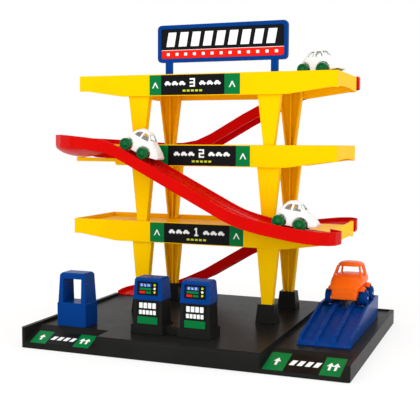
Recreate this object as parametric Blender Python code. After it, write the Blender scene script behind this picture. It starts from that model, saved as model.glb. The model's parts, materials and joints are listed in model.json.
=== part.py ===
"""Toy service station: a base tray, three parking decks on posts, car ramps, fuel pumps and toy cars.

Metres, +Z up, front towards -Y. The pieces are laid out from the base tray's front left bottom corner,
and one empty above them all moves the whole to its own origin.
"""

import math

import bmesh
import bpy
from mathutils import Matrix, Vector

MM = 0.001
GAP = 0.3 * MM  # air between pieces that touch on the real toy

# Base tray
BASE_WIDTH = 380 * MM
BASE_DEPTH = 296 * MM
BASE_WALL = 5 * MM  # side walls
BASE_SKIN = 2.5 * MM  # thickness of the moulded floor
BASE_FLOOR = 20.5 * MM  # top of the main floor
BASE_LANE = 15.5 * MM  # top of the lower lane at the right
BASE_LEFT_TOP = 23.6 * MM
BASE_LEFT_BACK = BASE_DEPTH - 60 * MM  # where the left wall ends
BASE_RIGHT_TOP = 17.3 * MM
BASE_LIP = 2.6 * MM  # height of the slopes at the front edge
BASE_ROUND = 3 * MM
ENTRY_RIGHT = 96 * MM
ENTRY_BACK = 34 * MM
LANE_LEFT = 286 * MM
EXIT_BACK = 50 * MM

# Posts and their sockets
POST_LEFT_X = (86 * MM, 86 * MM, 82 * MM)  # the left pair of each storey
POST_RIGHT_X = 251 * MM
POST_TOP_WIDTH = (26 * MM, 27.5 * MM, 28 * MM)  # at each storey
POST_FOOT_WIDTH = 13 * MM
POST_DEPTH = 9.5 * MM
POST_WALL = 2 * MM
POST_INSET = 3 * MM  # from the deck's front face to the post's front face
TENON_WIDTH = 8 * MM
TENON_DEPTH = 6 * MM
SOCKET_TOP = 43 * MM
SOCKET_FOOT_WIDTH = 25 * MM
SOCKET_TOP_WIDTH = 20.5 * MM
SOCKET_FOOT_DEPTH = 20 * MM
SOCKET_TOP_DEPTH = 16 * MM
SOCKET_POCKET = 14 * MM
PEG_RADIUS = 3.5 * MM
PEG_LENGTH = 5 * MM

# Parking decks
DECK_FRONT = 138 * MM
DECK_BACK = BASE_DEPTH - 48 * MM
DECK_LEFT = (-9 * MM, -5 * MM, 0 * MM)
DECK_RIGHT = 333 * MM
DECK_TOP = (137.2 * MM, 233.2 * MM, 318.9 * MM)  # top of each rim
DECK_RIM = 5 * MM  # rim above the floor
DECK_WALL = 2.2 * MM
DECK_FLOOR = 2.2 * MM
DECK_APRON = 26.3 * MM  # full depth of the apron below the rim's top
DECK_END = 19 * MM  # depth of the apron at the deck's ends
DECK_TAPER = 60 * MM  # length over which the apron gets shallower
DECK_RIB = 1.8 * MM
DECK_RIB_DEPTH = 3.5 * MM
DECK_ARCH = 3 * MM  # rise of the arch in the end walls
MIDDLE_END = 22 * MM  # depth of the middle deck's apron at its left end
MIDDLE_STEP = 49.6 * MM  # where that apron steps down to its full depth
GATE_LEFT = 272 * MM  # gap in a deck's long wall where a ramp joins
GATE_RIGHT = 328 * MM
HOOK_LEFT = 8 * MM  # from a ramp's gate to the middle of its hook
SIDE_GATE = 36 * MM  # gap in the middle deck's left rim, inside the turn
GATE_LATE = 14 * MM  # how much later the gate to the middle ramp starts

# Ramps
RAMP_WIDTH = 50 * MM
RAMP_WALL = 2 * MM
RAMP_FLOOR = 2 * MM
RAMP_RIM = 4.5 * MM
RAMP_HEIGHT = 15 * MM
RAMP_CLEAR = 4 * MM  # from a deck's face to the ramp's wall
TURN_X = 55.5 * MM  # centre of the half circle
TURN_STEPS = 14
TURN_HEIGHT = 13 * MM  # outer wall of the turn, at its left
TURN_BANK = 11.5 * MM  # how much higher the outside of the floor is in the turn
TURN_INNER_HEIGHT = 10 * MM  # inner wall of the turn, at its left
BANK_LEFT = 7 * MM  # what is left of the bank where the turn ends
BANK_FADE = 26 * MM  # length of straight ramp over which the rest fades
END_CURVE = 28 * MM  # length over which the outer wall curves in at a ramp's right end
END_WIDTH = 6 * MM  # what is left of the ramp's width there
FOOT_X = 54 * MM  # where the lower ramp starts to turn to the front
FOOT_RADIUS = 27 * MM  # of the middle of the lane in that turn
FOOT_TOP = 26.3 * MM  # top of the walls at the foot
FOOT_STEPS = 6
END_SHARES = (0, 0.45, 0.75, 0.93, 1)  # places of the cross sections in that curve
TREAD = 0.8 * MM  # height of the guide ribs on a ramp's floor
TREAD_WIDTH = 1.8 * MM
TREAD_LANE = 8 * MM  # from the middle of the lane to each rib

# Top edge of the near wall along each ramp: distance from the left, height
UPPER_LINE = (
    (335, 320), (322, 319.6), (300, 318), (274, 314.6), (252, 309), (225.5, 296), (201, 284),
    (181, 273.8), (158, 260.6), (135, 247.5), (115.5, 239), (96, 235.4), (56, 234.6),
)
MIDDLE_LINE = (
    (56, 239.3), (63, 237.6), (71, 234.6), (80, 230.6), (206, 165.5), (216, 160.6), (226, 156.4), (237, 153),
    (248, 150), (260, 147.4), (275, 144.9), (290, 142.4), (300, 141), (313, 139.6), (328, 138), (341, 136),
)
LOWER_LINE = (
    (335, 138.2), (322, 137.8), (300, 136.2), (274, 133), (252, 127.5), (225.5, 115.5), (202, 104.5),
    (182, 95), (153, 77.5), (127, 62), (94.5, 46.6), (78, 39.8), (66, 35), (56, 31.5),
)
# Height of the middle ramp's near wall above its floor, along the ramp
MIDDLE_RIM = ((56, 6.6), (63, 5.8), (71, 4.1), (80, 2), (226, 2), (275, 4.5))
# Top of the turn's outer wall: share of the half circle, height
TURN_RIM = (
    (0, 234.6), (0.12, 237.2), (0.25, 239.8), (0.5, 243), (0.68, 244.8), (0.8, 244.6), (0.9, 242.6), (1, 239.3),
)
TURN_FLOOR = (230.1 * MM, 229.2 * MM)  # middle of the floor at both ends of the turn

# Sign board
SIGN_LEFT = 108 * MM
SIGN_WIDTH = 165 * MM
SIGN_BOTTOM = 333 * MM
SIGN_HEIGHT = 45 * MM
SIGN_THICK = 5 * MM
SIGN_FRAME = 4.5 * MM
SIGN_RECESS = 1.2 * MM
SIGN_ROUND = 5 * MM
SIGN_LEGS = (122.6 * MM, 257 * MM)
SIGN_LEG_WIDTH = 8.5 * MM

# Fuel pumps
ISLAND_FRONT = 32 * MM
ISLAND_HEIGHT = 11 * MM
PUMP_X = (143.7 * MM, 201 * MM)
PLINTH_WIDTH = 39.5 * MM
PLINTH_DEPTH = 31 * MM
BRIDGE_DEPTH = 14 * MM
BRIDGE_HEIGHT = 9.5 * MM
PLINTH_TAPER = 0.5 * MM
PUMP_FOOT_WIDTH = 35.5 * MM
PUMP_FOOT_DEPTH = 26 * MM
PUMP_BODY_WIDTH = 34 * MM  # at the top
PUMP_BODY_DEPTH = 24 * MM
PUMP_BODY_HEIGHT = 27.5 * MM
PUMP_HEAD_WIDTH = 35.5 * MM
PUMP_HEAD_DEPTH = 26 * MM
PUMP_HEAD_HEIGHT = 24.8 * MM
PUMP_HEAD_TAPER = 1.6 * MM
DISPLAY_WIDTH = 25.8 * MM
DISPLAY_HEIGHT = 15.5 * MM
DISPLAY_RECESS = 1.2 * MM

# Cashier booth
BOOTH_LEFT = 27.5 * MM
BOOTH_FRONT = 34.5 * MM
BOOTH_WIDTH = 37.5 * MM
BOOTH_DEPTH = 28 * MM
BOOTH_HEIGHT = 62.8 * MM
BOOTH_BELT = 27.2 * MM
BOOTH_WALL = 2 * MM
BOOTH_TAPER = 1.6 * MM
WINDOW_WIDTH = 24 * MM
WINDOW_LOW = 28 * MM
WINDOW_HIGH = 56 * MM

# Service ramp
WEDGE_LEFT = 307 * MM
WEDGE_WIDTH = 59 * MM
WEDGE_FRONT = 70 * MM
WEDGE_BACK = 250 * MM
WEDGE_CREST = 176 * MM
WEDGE_LOW = 1.6 * MM  # channel floor at the front
WEDGE_HIGH = 28 * MM  # top of the ribs at the back
WEDGE_WALL = 2.4 * MM
WEDGE_EDGE = 3 * MM  # width of the two outer ribs
WEDGE_RIB = 5 * MM  # width of the two inner ribs
WEDGE_CHANNEL = 4.5 * MM
WEDGE_LIP = 8 * MM  # how far behind the front edge the ribs start

# Side outlines of the bodies: share of the length from the rear, share of the height
WHITE_SIDE = (
    (0, 0.4), (0.03, 0.56), (0.09, 0.72), (0.18, 0.88), (0.28, 0.97), (0.4, 1), (0.5, 0.985),
    (0.58, 0.92), (0.65, 0.8), (0.71, 0.69), (0.8, 0.61), (0.89, 0.52), (0.96, 0.42), (1, 0.34),
)
ORANGE_SIDE = (
    (0, 0.42), (0.03, 0.55), (0.08, 0.68), (0.16, 0.83), (0.26, 0.945), (0.38, 1), (0.48, 0.995),
    (0.56, 0.945), (0.63, 0.83), (0.68, 0.715), (0.76, 0.65), (0.86, 0.56), (0.94, 0.46), (1, 0.36),
)
# Side windows as outlines in the same shares
WHITE_PANES = (
    ((0.2, 0.67), (0.36, 0.66), (0.36, 0.87), (0.29, 0.85), (0.23, 0.78)),
    ((0.41, 0.66), (0.6, 0.67), (0.57, 0.77), (0.51, 0.87), (0.41, 0.88)),
)
ORANGE_PANES = (
    ((0.19, 0.68), (0.34, 0.66), (0.34, 0.9), (0.27, 0.86), (0.215, 0.78)),
    ((0.385, 0.65), (0.585, 0.66), (0.56, 0.78), (0.505, 0.89), (0.385, 0.92)),
)
# Windscreen and rear window: from and to in shares of the length, low and high in shares of the height,
# half widths at both in shares of the width
WHITE_SCREENS = ((0.5, 1.1, 0.74, 0.885, 0.27, 0.2), (-0.1, 0.3, 0.72, 0.85, 0.24, 0.18))
ORANGE_SCREENS = ((0.5, 1.1, 0.73, 0.88, 0.29, 0.2), (-0.1, 0.3, 0.71, 0.83, 0.25, 0.18))

# Toy cars. rear is the overhang behind the rear axle, belt the height up to which the sides are upright,
# roof the share of the width that is left at the top, nose how much the underside rises at the front.
WHITE_CAR = {
    "wheel": 15 * MM, "tyre": 6.6 * MM, "base": 25 * MM, "width": 31 * MM, "over": 40 * MM,
    "length": 49 * MM, "height": 33 * MM, "rear": 6.5 * MM, "belt": 15 * MM, "roof": 0.7, "nose": 3.5 * MM,
    "side": WHITE_SIDE, "panes": WHITE_PANES, "screens": WHITE_SCREENS,
}
ORANGE_CAR = {
    "wheel": 19.4 * MM, "tyre": 10.3 * MM, "base": 36 * MM, "width": 45 * MM, "over": 52 * MM,
    "length": 73 * MM, "height": 50 * MM, "rear": 14 * MM, "belt": 21 * MM, "roof": 0.6, "nose": 4 * MM,
    "side": ORANGE_SIDE, "panes": ORANGE_PANES, "screens": ORANGE_SCREENS,
}
CAR_WALL = 1.5 * MM
CAR_ARC_STEPS = 8
WHEEL_SIDES = 14
CAR_SQUARE = 3  # squareness of the body's cross section
AXLE_RADIUS = 1.1 * MM
AXLE_PLAY = 0.15 * MM
AXLE_SHARE = 0.55  # how far the axle reaches into the wheel
TOP_CAR_X = 303 * MM
TOP_CAR_Y = 170 * MM
TOP_CAR_TURN = 14  # degrees
HIGH_CAR_X = 94.5 * MM
LOW_CAR_X = 288.6 * MM
HIGH_CAR_PLAY = 0.36 * MM  # between the wheels and the ramp's floor
LOW_CAR_PLAY = 0.68 * MM  # more, because the floor curves up at both ends of the car's travel there
SERVICE_CAR_Y = 214 * MM

YELLOW = (1.0, 0.62, 0.0)
RED = (0.75, 0.005, 0.008)
BLUE = (0.0, 0.06, 0.45)
BLACK = (0.02, 0.02, 0.019)
WHITE = (0.88, 0.88, 0.86)
ORANGE = (1.0, 0.13, 0.01)
GREEN = (0.0, 0.12, 0.025)
STEEL = (0.6, 0.6, 0.62)


def clear_scene():
    for obj in list(bpy.data.objects):
        bpy.data.objects.remove(obj)


def make_collections():
    parts = bpy.data.collections.new("Toy service station")
    cutters = bpy.data.collections.new("Cutters")
    bpy.context.scene.collection.children.link(parts)
    bpy.context.scene.collection.children.link(cutters)
    cutters.hide_render = True
    return parts, cutters


def material(name, colour, roughness, metallic=0.0):
    found = bpy.data.materials.get(name)
    if found:
        return found
    new = bpy.data.materials.new(name)
    new.use_nodes = True
    shader = new.node_tree.nodes["Principled BSDF"]
    shader.inputs["Base Color"].default_value = (*colour, 1.0)
    shader.inputs["Roughness"].default_value = roughness
    shader.inputs["Metallic"].default_value = metallic
    new.diffuse_color = (*colour, 1.0)
    return new


class Kit:
    """Makes the objects: pieces go under the root empty, cutters into their own collection."""

    def __init__(self):
        self.parts, self.cutters = make_collections()
        self.root = bpy.data.objects.new("Service_station", None)
        self.parts.objects.link(self.root)

    def piece(self, name, mesh, look, parent=None):
        obj = bpy.data.objects.new(name, mesh)
        obj.data.materials.append(look)
        self.parts.objects.link(obj)
        obj.parent = parent or self.root
        return obj

    def empty(self, name, matrix):
        obj = bpy.data.objects.new(name, None)
        self.parts.objects.link(obj)
        obj.parent = self.root
        obj.matrix_local = matrix
        return obj

    def cut(self, target, name, mesh, operation="DIFFERENCE"):
        cutter = bpy.data.objects.new(name, mesh)
        self.cutters.objects.link(cutter)
        cutter.parent = target.parent
        cutter.hide_render = True
        cutter.display_type = "WIRE"
        modifier = target.modifiers.new(name, "BOOLEAN")
        modifier.operation = operation
        modifier.solver = "EXACT"
        modifier.object = cutter
        return cutter

    def join(self, target, name, mesh):
        return self.cut(target, name, mesh, "UNION")


def finish(bm, name):
    bmesh.ops.recalc_face_normals(bm, faces=bm.faces)
    mesh = bpy.data.meshes.new(name)
    bm.to_mesh(mesh)
    bm.free()
    return mesh


def add_box(bm, low, high):
    size = Vector(high) - Vector(low)
    middle = (Vector(high) + Vector(low)) / 2
    scale = Matrix.Diagonal((*size, 1.0))
    bmesh.ops.create_cube(bm, size=1.0, matrix=Matrix.Translation(middle) @ scale)


def boxes(name, *pairs):
    bm = bmesh.new()
    for low, high in pairs:
        add_box(bm, low, high)
    return finish(bm, name)


def add_loft(bm, sections):
    """A closed body through sections that have the same number of points."""
    rings = [[bm.verts.new(point) for point in section] for section in sections]
    count = len(rings[0])
    for first, second in zip(rings, rings[1:]):
        for i in range(count):
            j = (i + 1) % count
            bm.faces.new((first[i], first[j], second[j], second[i]))
    bm.faces.new(list(reversed(rings[0])))
    bm.faces.new(rings[-1])


def loft(name, *bodies, split=False):
    """Closed bodies through sections. split cuts their uneven faces into triangles."""
    bm = bmesh.new()
    for sections in bodies:
        add_loft(bm, sections)
    if split:
        bmesh.ops.triangulate(bm, faces=bm.faces)
    return finish(bm, name)


def prism(name, outline, axis, low, high):
    """A flat outline drawn out along x, y or z; the outline holds the other two coordinates in order."""

    def place(pair, along):
        first, second = pair
        if axis == "x":
            return (along, first, second)
        if axis == "y":
            return (first, along, second)
        return (first, second, along)

    return loft(name, [[place(pair, low) for pair in outline], [place(pair, high) for pair in outline]])


def turned(name, profile, steps, axis="y"):
    """A round body from (radius, distance along the axis) pairs; both ends close on the axis or as discs."""
    sections = []
    for radius, along in profile:
        ring = []
        for i in range(steps):
            angle = 2 * math.pi * i / steps
            u, v = radius * math.cos(angle), radius * math.sin(angle)
            ring.append({"x": (along, u, v), "y": (u, along, v), "z": (u, v, along)}[axis])
        sections.append(ring)
    return loft(name, sections)


def rounded_rectangle(left, bottom, width, height, radius, steps=3):
    """Corner points of a rounded rectangle, in order round it."""
    points = []
    corners = (
        (left + width - radius, bottom + height - radius, 0),
        (left + radius, bottom + height - radius, 90),
        (left + radius, bottom + radius, 180),
        (left + width - radius, bottom + radius, 270),
    )
    for x, y, start in corners:
        for i in range(steps + 1):
            angle = math.radians(start + 90 * i / steps)
            points.append((x + radius * math.cos(angle), y + radius * math.sin(angle)))
    return points


def frustum(x, y, low, high, foot, top):
    """Sections of a tapered block centred on x, y."""
    sections = []
    for z, (width, depth) in ((low, foot), (high, top)):
        a, b = width / 2, depth / 2
        sections.append([(x - a, y - b, z), (x + a, y - b, z), (x + a, y + b, z), (x - a, y + b, z)])
    return sections


def smooth(obj, angle=35):
    obj.data.shade_smooth()
    obj.data.set_sharp_from_angle(angle=math.radians(angle))


def post_rows():
    """Front face and direction of the open side for the two rows of posts."""
    return ((DECK_FRONT + POST_INSET, 1), (DECK_BACK - POST_INSET, -1))


def post_places(storey):
    """Centre X, flat face Y, direction and name of each post of a storey."""
    places = []
    for row, (face, way) in zip(("front", "back"), post_rows()):
        for side, x in (("left", POST_LEFT_X[storey]), ("right", POST_RIGHT_X)):
            places.append((x, face, way, f"{row}_{side}"))
    return places


def deck_floor(level):
    return DECK_TOP[level] - DECK_RIM


def base_tray(kit, look):
    outline = rounded_rectangle(0, 0, BASE_WIDTH, BASE_DEPTH, BASE_ROUND, 3)
    tray = kit.piece("Base_tray", prism("Base_tray", outline, "z", 0, BASE_LEFT_TOP), look)
    far = 1.0
    kit.cut(tray, "Base_main_floor", prism(
        "Base_main_floor",
        [(BASE_WALL, -far), (far, -far), (far, far), (-far, far), (-far, BASE_LEFT_BACK),
         (BASE_WALL, BASE_LEFT_BACK)],
        "z", BASE_FLOOR, far))
    kit.cut(tray, "Base_right_top", boxes(
        "Base_right_top", ((LANE_LEFT, -far, BASE_RIGHT_TOP), (far, far, far))))
    rise = BASE_DEPTH - BASE_WALL / 2
    kit.cut(tray, "Base_lane", prism(
        "Base_lane",
        [(-far * 0.01, BASE_LIP), (EXIT_BACK, BASE_LANE), (rise, BASE_LANE), (rise, far), (-far * 0.01, far)],
        "x", LANE_LEFT, BASE_WIDTH - BASE_WALL))
    kit.cut(tray, "Base_entry", prism(
        "Base_entry",
        [(-far * 0.01, BASE_LIP), (ENTRY_BACK, BASE_FLOOR), (ENTRY_BACK, far), (-far * 0.01, far)],
        "x", BASE_WALL, ENTRY_RIGHT))
    nose = 3.5 * MM
    kit.cut(tray, "Base_front_edge", prism(
        "Base_front_edge",
        [(-far, BASE_FLOOR - nose), (0, BASE_FLOOR - nose), (nose * 0.3, BASE_FLOOR - nose * 0.3),
         (nose, BASE_FLOOR), (nose, far), (-far, far)],
        "x", ENTRY_RIGHT, LANE_LEFT))
    base_underside(kit, tray)
    base_holes(kit, tray)
    smooth(tray)
    return tray


def base_underside(kit, tray):
    """Hollow below the floor in cells, so that ribs stay between them."""
    skin, rib = BASE_SKIN, 2 * MM
    back = BASE_DEPTH - skin
    middle = 150 * MM
    below = -0.01
    cells = []
    slope_cells = (
        ("entry", skin, ENTRY_RIGHT - rib, ENTRY_BACK, BASE_FLOOR),
        ("exit", LANE_LEFT + rib / 2, BASE_WIDTH - skin, EXIT_BACK, BASE_LANE),
    )
    for name, left, right, foot, top in slope_cells:
        start = 12 * MM
        steep = (top - BASE_LIP) / (foot + 0.01)
        low = BASE_LIP + steep * (start + 0.01) - skin
        outline = [(start, below), (middle - rib, below), (middle - rib, top - skin), (foot, top - skin),
                   (start, low)]
        cells.append([[(x, y, z) for y, z in outline] for x in (left, right)])
        cells.append([[(x, y, z) for y, z in (
            (middle, below), (back, below), (back, top - skin), (middle, top - skin))] for x in (left, right)])
    parts = 3
    width = (LANE_LEFT - rib / 2 - ENTRY_RIGHT) / parts
    for i in range(parts):
        left = ENTRY_RIGHT + i * width
        right = left + width - rib
        for low, high in ((4 * MM, middle - rib), (middle, back)):
            top = BASE_FLOOR - skin
            cells.append([[(x, y, z) for y, z in (
                (low, below), (high, below), (high, top), (low + (2 * MM if low < 5 * MM else 0), top),
                (low, top - 3 * MM))] for x in (left, right)])
    kit.cut(tray, "Base_cells", loft("Base_cells", *cells))


def base_holes(kit, tray):
    """Holes for the pegs of the post sockets."""
    bm = bmesh.new()
    for x, face, way, _ in post_places(0):
        bmesh.ops.create_cone(
            bm, cap_ends=True, segments=12, radius1=PEG_RADIUS + GAP, radius2=PEG_RADIUS + GAP,
            depth=4 * BASE_SKIN, matrix=Matrix.Translation((x, face + way * POST_DEPTH / 2, BASE_FLOOR)))
    kit.cut(tray, "Base_peg_holes", finish(bm, "Base_peg_holes"))


def post_socket(kit, look, x, face, way, name):
    y = face + way * POST_DEPTH / 2
    low = BASE_FLOOR + GAP
    mesh = loft(f"Socket_{name}", frustum(
        x, y, low, SOCKET_TOP, (SOCKET_FOOT_WIDTH, SOCKET_FOOT_DEPTH), (SOCKET_TOP_WIDTH, SOCKET_TOP_DEPTH)))
    socket = kit.piece(f"Post_socket_{name}", mesh, look)
    a = POST_FOOT_WIDTH / 2 + GAP
    b = POST_DEPTH / 2 + GAP
    kit.cut(socket, f"Socket_pocket_{name}", boxes(
        f"Socket_pocket_{name}", ((x - a, y - b, SOCKET_TOP - SOCKET_POCKET), (x + a, y + b, 1.0))))
    bm = bmesh.new()
    bmesh.ops.create_cone(
        bm, cap_ends=True, segments=12, radius1=PEG_RADIUS - 0.4 * MM, radius2=PEG_RADIUS,
        depth=PEG_LENGTH + 2 * MM,
        matrix=Matrix.Translation((x, y, low - PEG_LENGTH / 2 + 1 * MM)))
    kit.join(socket, f"Socket_peg_{name}", finish(bm, f"Socket_peg_{name}"))
    smooth(socket)


def post(kit, look, storey, place):
    """A channel with a middle rib, narrow at its foot. Its tenon goes through the deck's floor."""
    x, face, way, name = place
    if storey == 0:
        foot = SOCKET_TOP - SOCKET_POCKET + GAP
        narrow = SOCKET_TOP
    else:
        foot = deck_floor(storey - 1) + GAP
        narrow = DECK_TOP[storey - 1]
    wide = DECK_TOP[storey] - DECK_APRON
    top = deck_floor(storey) - DECK_FLOOR - GAP

    def section(width, z):
        a, t, d, r = width / 2, POST_WALL, POST_DEPTH, POST_WALL / 2
        shape = ((-a, 0), (a, 0), (a, d), (a - t, d), (a - t, t), (r, t), (r, d - t), (-r, d - t), (-r, t),
                 (t - a, t), (t - a, d), (-a, d))
        return [(x + u, face + way * v, z) for u, v in shape]

    mesh = loft(f"Post_{storey + 1}_{name}", [
        section(POST_FOOT_WIDTH, foot), section(POST_FOOT_WIDTH, narrow),
        section(POST_TOP_WIDTH[storey], wide), section(POST_TOP_WIDTH[storey], top)])
    obj = kit.piece(f"Post_{storey + 1}_{name}", mesh, look)
    if storey > 0:
        near, far = sorted((face + way * 0.5 * MM, face + way * TENON_DEPTH))
        half = TENON_WIDTH / 2
        kit.join(obj, f"Tenon_{storey + 1}_{name}", boxes(
            f"Tenon_{storey + 1}_{name}",
            ((x - half, near, foot - GAP - DECK_FLOOR), (x + half, far, foot + 2.5 * MM))))
    smooth(obj, 20)


def deck_outline(level):
    """Front view of a deck: level rim, apron that gets shallower at the ends."""
    left, top = DECK_LEFT[level], DECK_TOP[level]
    start = [(left, top - DECK_END), (left + DECK_TAPER * 0.15, top - DECK_END),
             (left + DECK_TAPER, top - DECK_APRON)]
    if level == 1:
        start = [(left, top - MIDDLE_END), (MIDDLE_STEP, top - MIDDLE_END),
                 (MIDDLE_STEP + 2 * MM, top - DECK_APRON)]
    return [
        (left, top), *start, (DECK_RIGHT - DECK_TAPER, top - DECK_APRON),
        (DECK_RIGHT - DECK_TAPER * 0.15, top - DECK_END), (DECK_RIGHT, top - DECK_END), (DECK_RIGHT, top),
    ]


def deck(kit, look, level):
    number = level + 1
    left, top = DECK_LEFT[level], DECK_TOP[level]
    floor = deck_floor(level)
    under = floor - DECK_FLOOR
    wall, rib = DECK_WALL, DECK_RIB
    solid = prism(f"Deck_{number}", deck_outline(level), "y", DECK_FRONT, DECK_BACK)
    obj = kit.piece(f"Deck_{number}", solid, look)
    inside = (left + wall, DECK_RIGHT - wall, DECK_FRONT + wall, DECK_BACK - wall)
    kit.cut(obj, f"Deck_{number}_tray", boxes(
        f"Deck_{number}_tray", ((inside[0], inside[2], floor), (inside[1], inside[3], 1.0))))
    kit.cut(obj, f"Deck_{number}_hollow", boxes(
        f"Deck_{number}_hollow", ((inside[0], inside[2], 0), (inside[1], inside[3], under - DECK_RIB_DEPTH))))
    edges = [inside[0]]
    half = POST_TOP_WIDTH[level] / 2 + 2 * MM
    left_post = POST_LEFT_X[level]
    for x in (left_post - half, left_post + half, (left_post + POST_RIGHT_X) / 2, POST_RIGHT_X - half,
              POST_RIGHT_X + half):
        edges += [x - rib / 2, x + rib / 2]
    edges.append(inside[1])
    middle = (DECK_FRONT + DECK_BACK) / 2
    cells = []
    for low, high in zip(edges[0::2], edges[1::2]):
        cells.append(((low, inside[2], under - DECK_RIB_DEPTH - 1 * MM), (high, middle - rib / 2, under)))
        cells.append(((low, middle + rib / 2, under - DECK_RIB_DEPTH - 1 * MM), (high, inside[3], under)))
    kit.cut(obj, f"Deck_{number}_cells", boxes(f"Deck_{number}_cells", *cells))
    arch = []
    for i in range(9):
        angle = math.pi * i / 8
        reach = (DECK_BACK - DECK_FRONT) / 2 - 5 * MM
        arch.append((middle + reach * math.cos(angle), top - DECK_END + DECK_ARCH * math.sin(angle)))
    arch += [(middle - reach, 0.0), (middle + reach, 0.0)]
    kit.cut(obj, f"Deck_{number}_arches", prism(
        f"Deck_{number}_arches", arch, "x", left - wall, DECK_RIGHT + wall))
    deck_gates(kit, obj, level)
    deck_holes(kit, obj, level)
    smooth(obj, 20)
    return obj


def deck_gates(kit, obj, level):
    """Gaps in the rim where a car rolls on or off a ramp."""
    number = level + 1
    floor = deck_floor(level)
    pairs = []
    if level != 1:
        pairs.append(((GATE_LEFT, DECK_BACK - 2 * DECK_WALL, floor), (GATE_RIGHT, DECK_BACK + DECK_WALL, 1.0)))
    if level == 0:
        pairs.append(((GATE_LEFT + GATE_LATE, DECK_FRONT - DECK_WALL, floor),
                      (GATE_RIGHT, DECK_FRONT + 2 * DECK_WALL, 1.0)))
    if level == 1:
        left = DECK_LEFT[level]
        middle = (DECK_FRONT + DECK_BACK) / 2
        pairs.append(((left - DECK_WALL, middle - SIDE_GATE / 2, floor),
                      (left + 2 * DECK_WALL, middle + SIDE_GATE / 2, 1.0)))
    kit.cut(obj, f"Deck_{number}_gates", boxes(f"Deck_{number}_gates", *pairs))


def deck_holes(kit, obj, level):
    """Holes in the floor for the tenons of the posts above, or for the pegs of the sign."""
    number = level + 1
    low, high = deck_floor(level) - 2 * DECK_FLOOR, deck_floor(level) + DECK_FLOOR
    pairs = []
    if level < 2:
        for x, face, way, _ in post_places(level + 1):
            near, far = sorted((face + way * (0.5 * MM - GAP), face + way * (TENON_DEPTH + GAP)))
            half = TENON_WIDTH / 2 + GAP
            pairs.append(((x - half, near, low), (x + half, far, high)))
    else:
        for x in SIGN_LEGS:
            half = SIGN_LEG_WIDTH / 2 - 1 * MM + GAP
            near = sign_front() + 1 * MM - GAP
            far = sign_front() + SIGN_THICK - 1 * MM + GAP
            pairs.append(((x - half, near, low), (x + half, far, high)))
    kit.cut(obj, f"Deck_{number}_holes", boxes(f"Deck_{number}_holes", *pairs))


def between(points, at):
    """Value at a place on a chain of (place, value) points."""
    ordered = sorted(points)
    if at <= ordered[0][0]:
        return ordered[0][1]
    for (x0, z0), (x1, z1) in zip(ordered, ordered[1:]):
        if at <= x1:
            return z0 + (z1 - z0) * (at - x0) / (x1 - x0)
    return ordered[-1][1]


def height_at(line, x):
    """Height of a ramp's edge line at x, both in metres."""
    return between(line, x / MM) * MM


def ramp_section(centre, across, tops, heights, rims=(RAMP_RIM, RAMP_RIM), tuck=0.0):
    """One cross section: two walls that stand above and below the floor, with two guide ribs on the floor.

    centre is the point in the plan, across the direction to the outer side. tops, heights and rims hold the
    inner and the outer wall's top, its full height and its height above the floor. tuck moves the outer
    wall inwards.
    """
    half, w = RAMP_WIDTH / 2, RAMP_WALL
    out = half - tuck
    low = [top - rim for top, rim in zip(tops, rims)]
    squeeze = (out + half - 2 * w) / (2 * half - 2 * w)

    def floor(s):
        return low[0] + (low[1] - low[0]) * (s + half) / (out + half)

    inner, outer = tops
    shape = [(-half, inner - heights[0]), (-half, inner), (-half + w, inner), (-half + w, floor(-half + w))]
    for lane in (-TREAD_LANE, TREAD_LANE):
        s = w - half + (lane + half - w) * squeeze
        a = TREAD_WIDTH / 2 * squeeze
        shape += [(s - a, floor(s - a)), (s, floor(s) + TREAD), (s + a, floor(s + a))]
    shape += [
        (out - w, floor(out - w)), (out - w, outer), (out, outer), (out, outer - heights[1]),
        (out - w, outer - heights[1]), (out - w, floor(out - w) - RAMP_FLOOR),
        (-half + w, floor(-half + w) - RAMP_FLOOR), (-half + w, inner - heights[0]),
    ]
    x, y = centre
    ax, ay = across
    return [(x + ax * s, y + ay * s, z) for s, z in shape]


def end_tuck(line, x):
    """How far the outer wall has curved in at x, towards the right end of a ramp's line."""
    end = line_end(line)
    share = min(1.0, max(0.0, (x - end + END_CURVE) / END_CURVE))
    return (RAMP_WIDTH - END_WIDTH) * (1 - math.sqrt(1 - share * share))


def line_end(line):
    return max(x for x, _ in line) * MM


def line_stations(line):
    """Places of the cross sections along a line, from right to left, closer together round the right end."""
    end = line_end(line)
    curve = [end - END_CURVE * (1 - share) for share in END_SHARES]
    straight = [x * MM for x, _ in line if x * MM < end - END_CURVE - 1 * MM]
    return sorted(curve + straight, reverse=True)


def straight_sections(line, y):
    """Sections along a straight ramp behind the decks, from its right end to the left."""
    sections = []
    for x in line_stations(line):
        top = height_at(line, x)
        sections.append(ramp_section(
            (x, y), (0, 1), (top, top), (RAMP_HEIGHT, RAMP_HEIGHT), tuck=end_tuck(line, x)))
    return sections


def ramp_front_y():
    return DECK_FRONT - RAMP_CLEAR / 2 - RAMP_WIDTH / 2


def ramp_back_y():
    return DECK_BACK + RAMP_CLEAR + RAMP_WIDTH / 2


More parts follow.
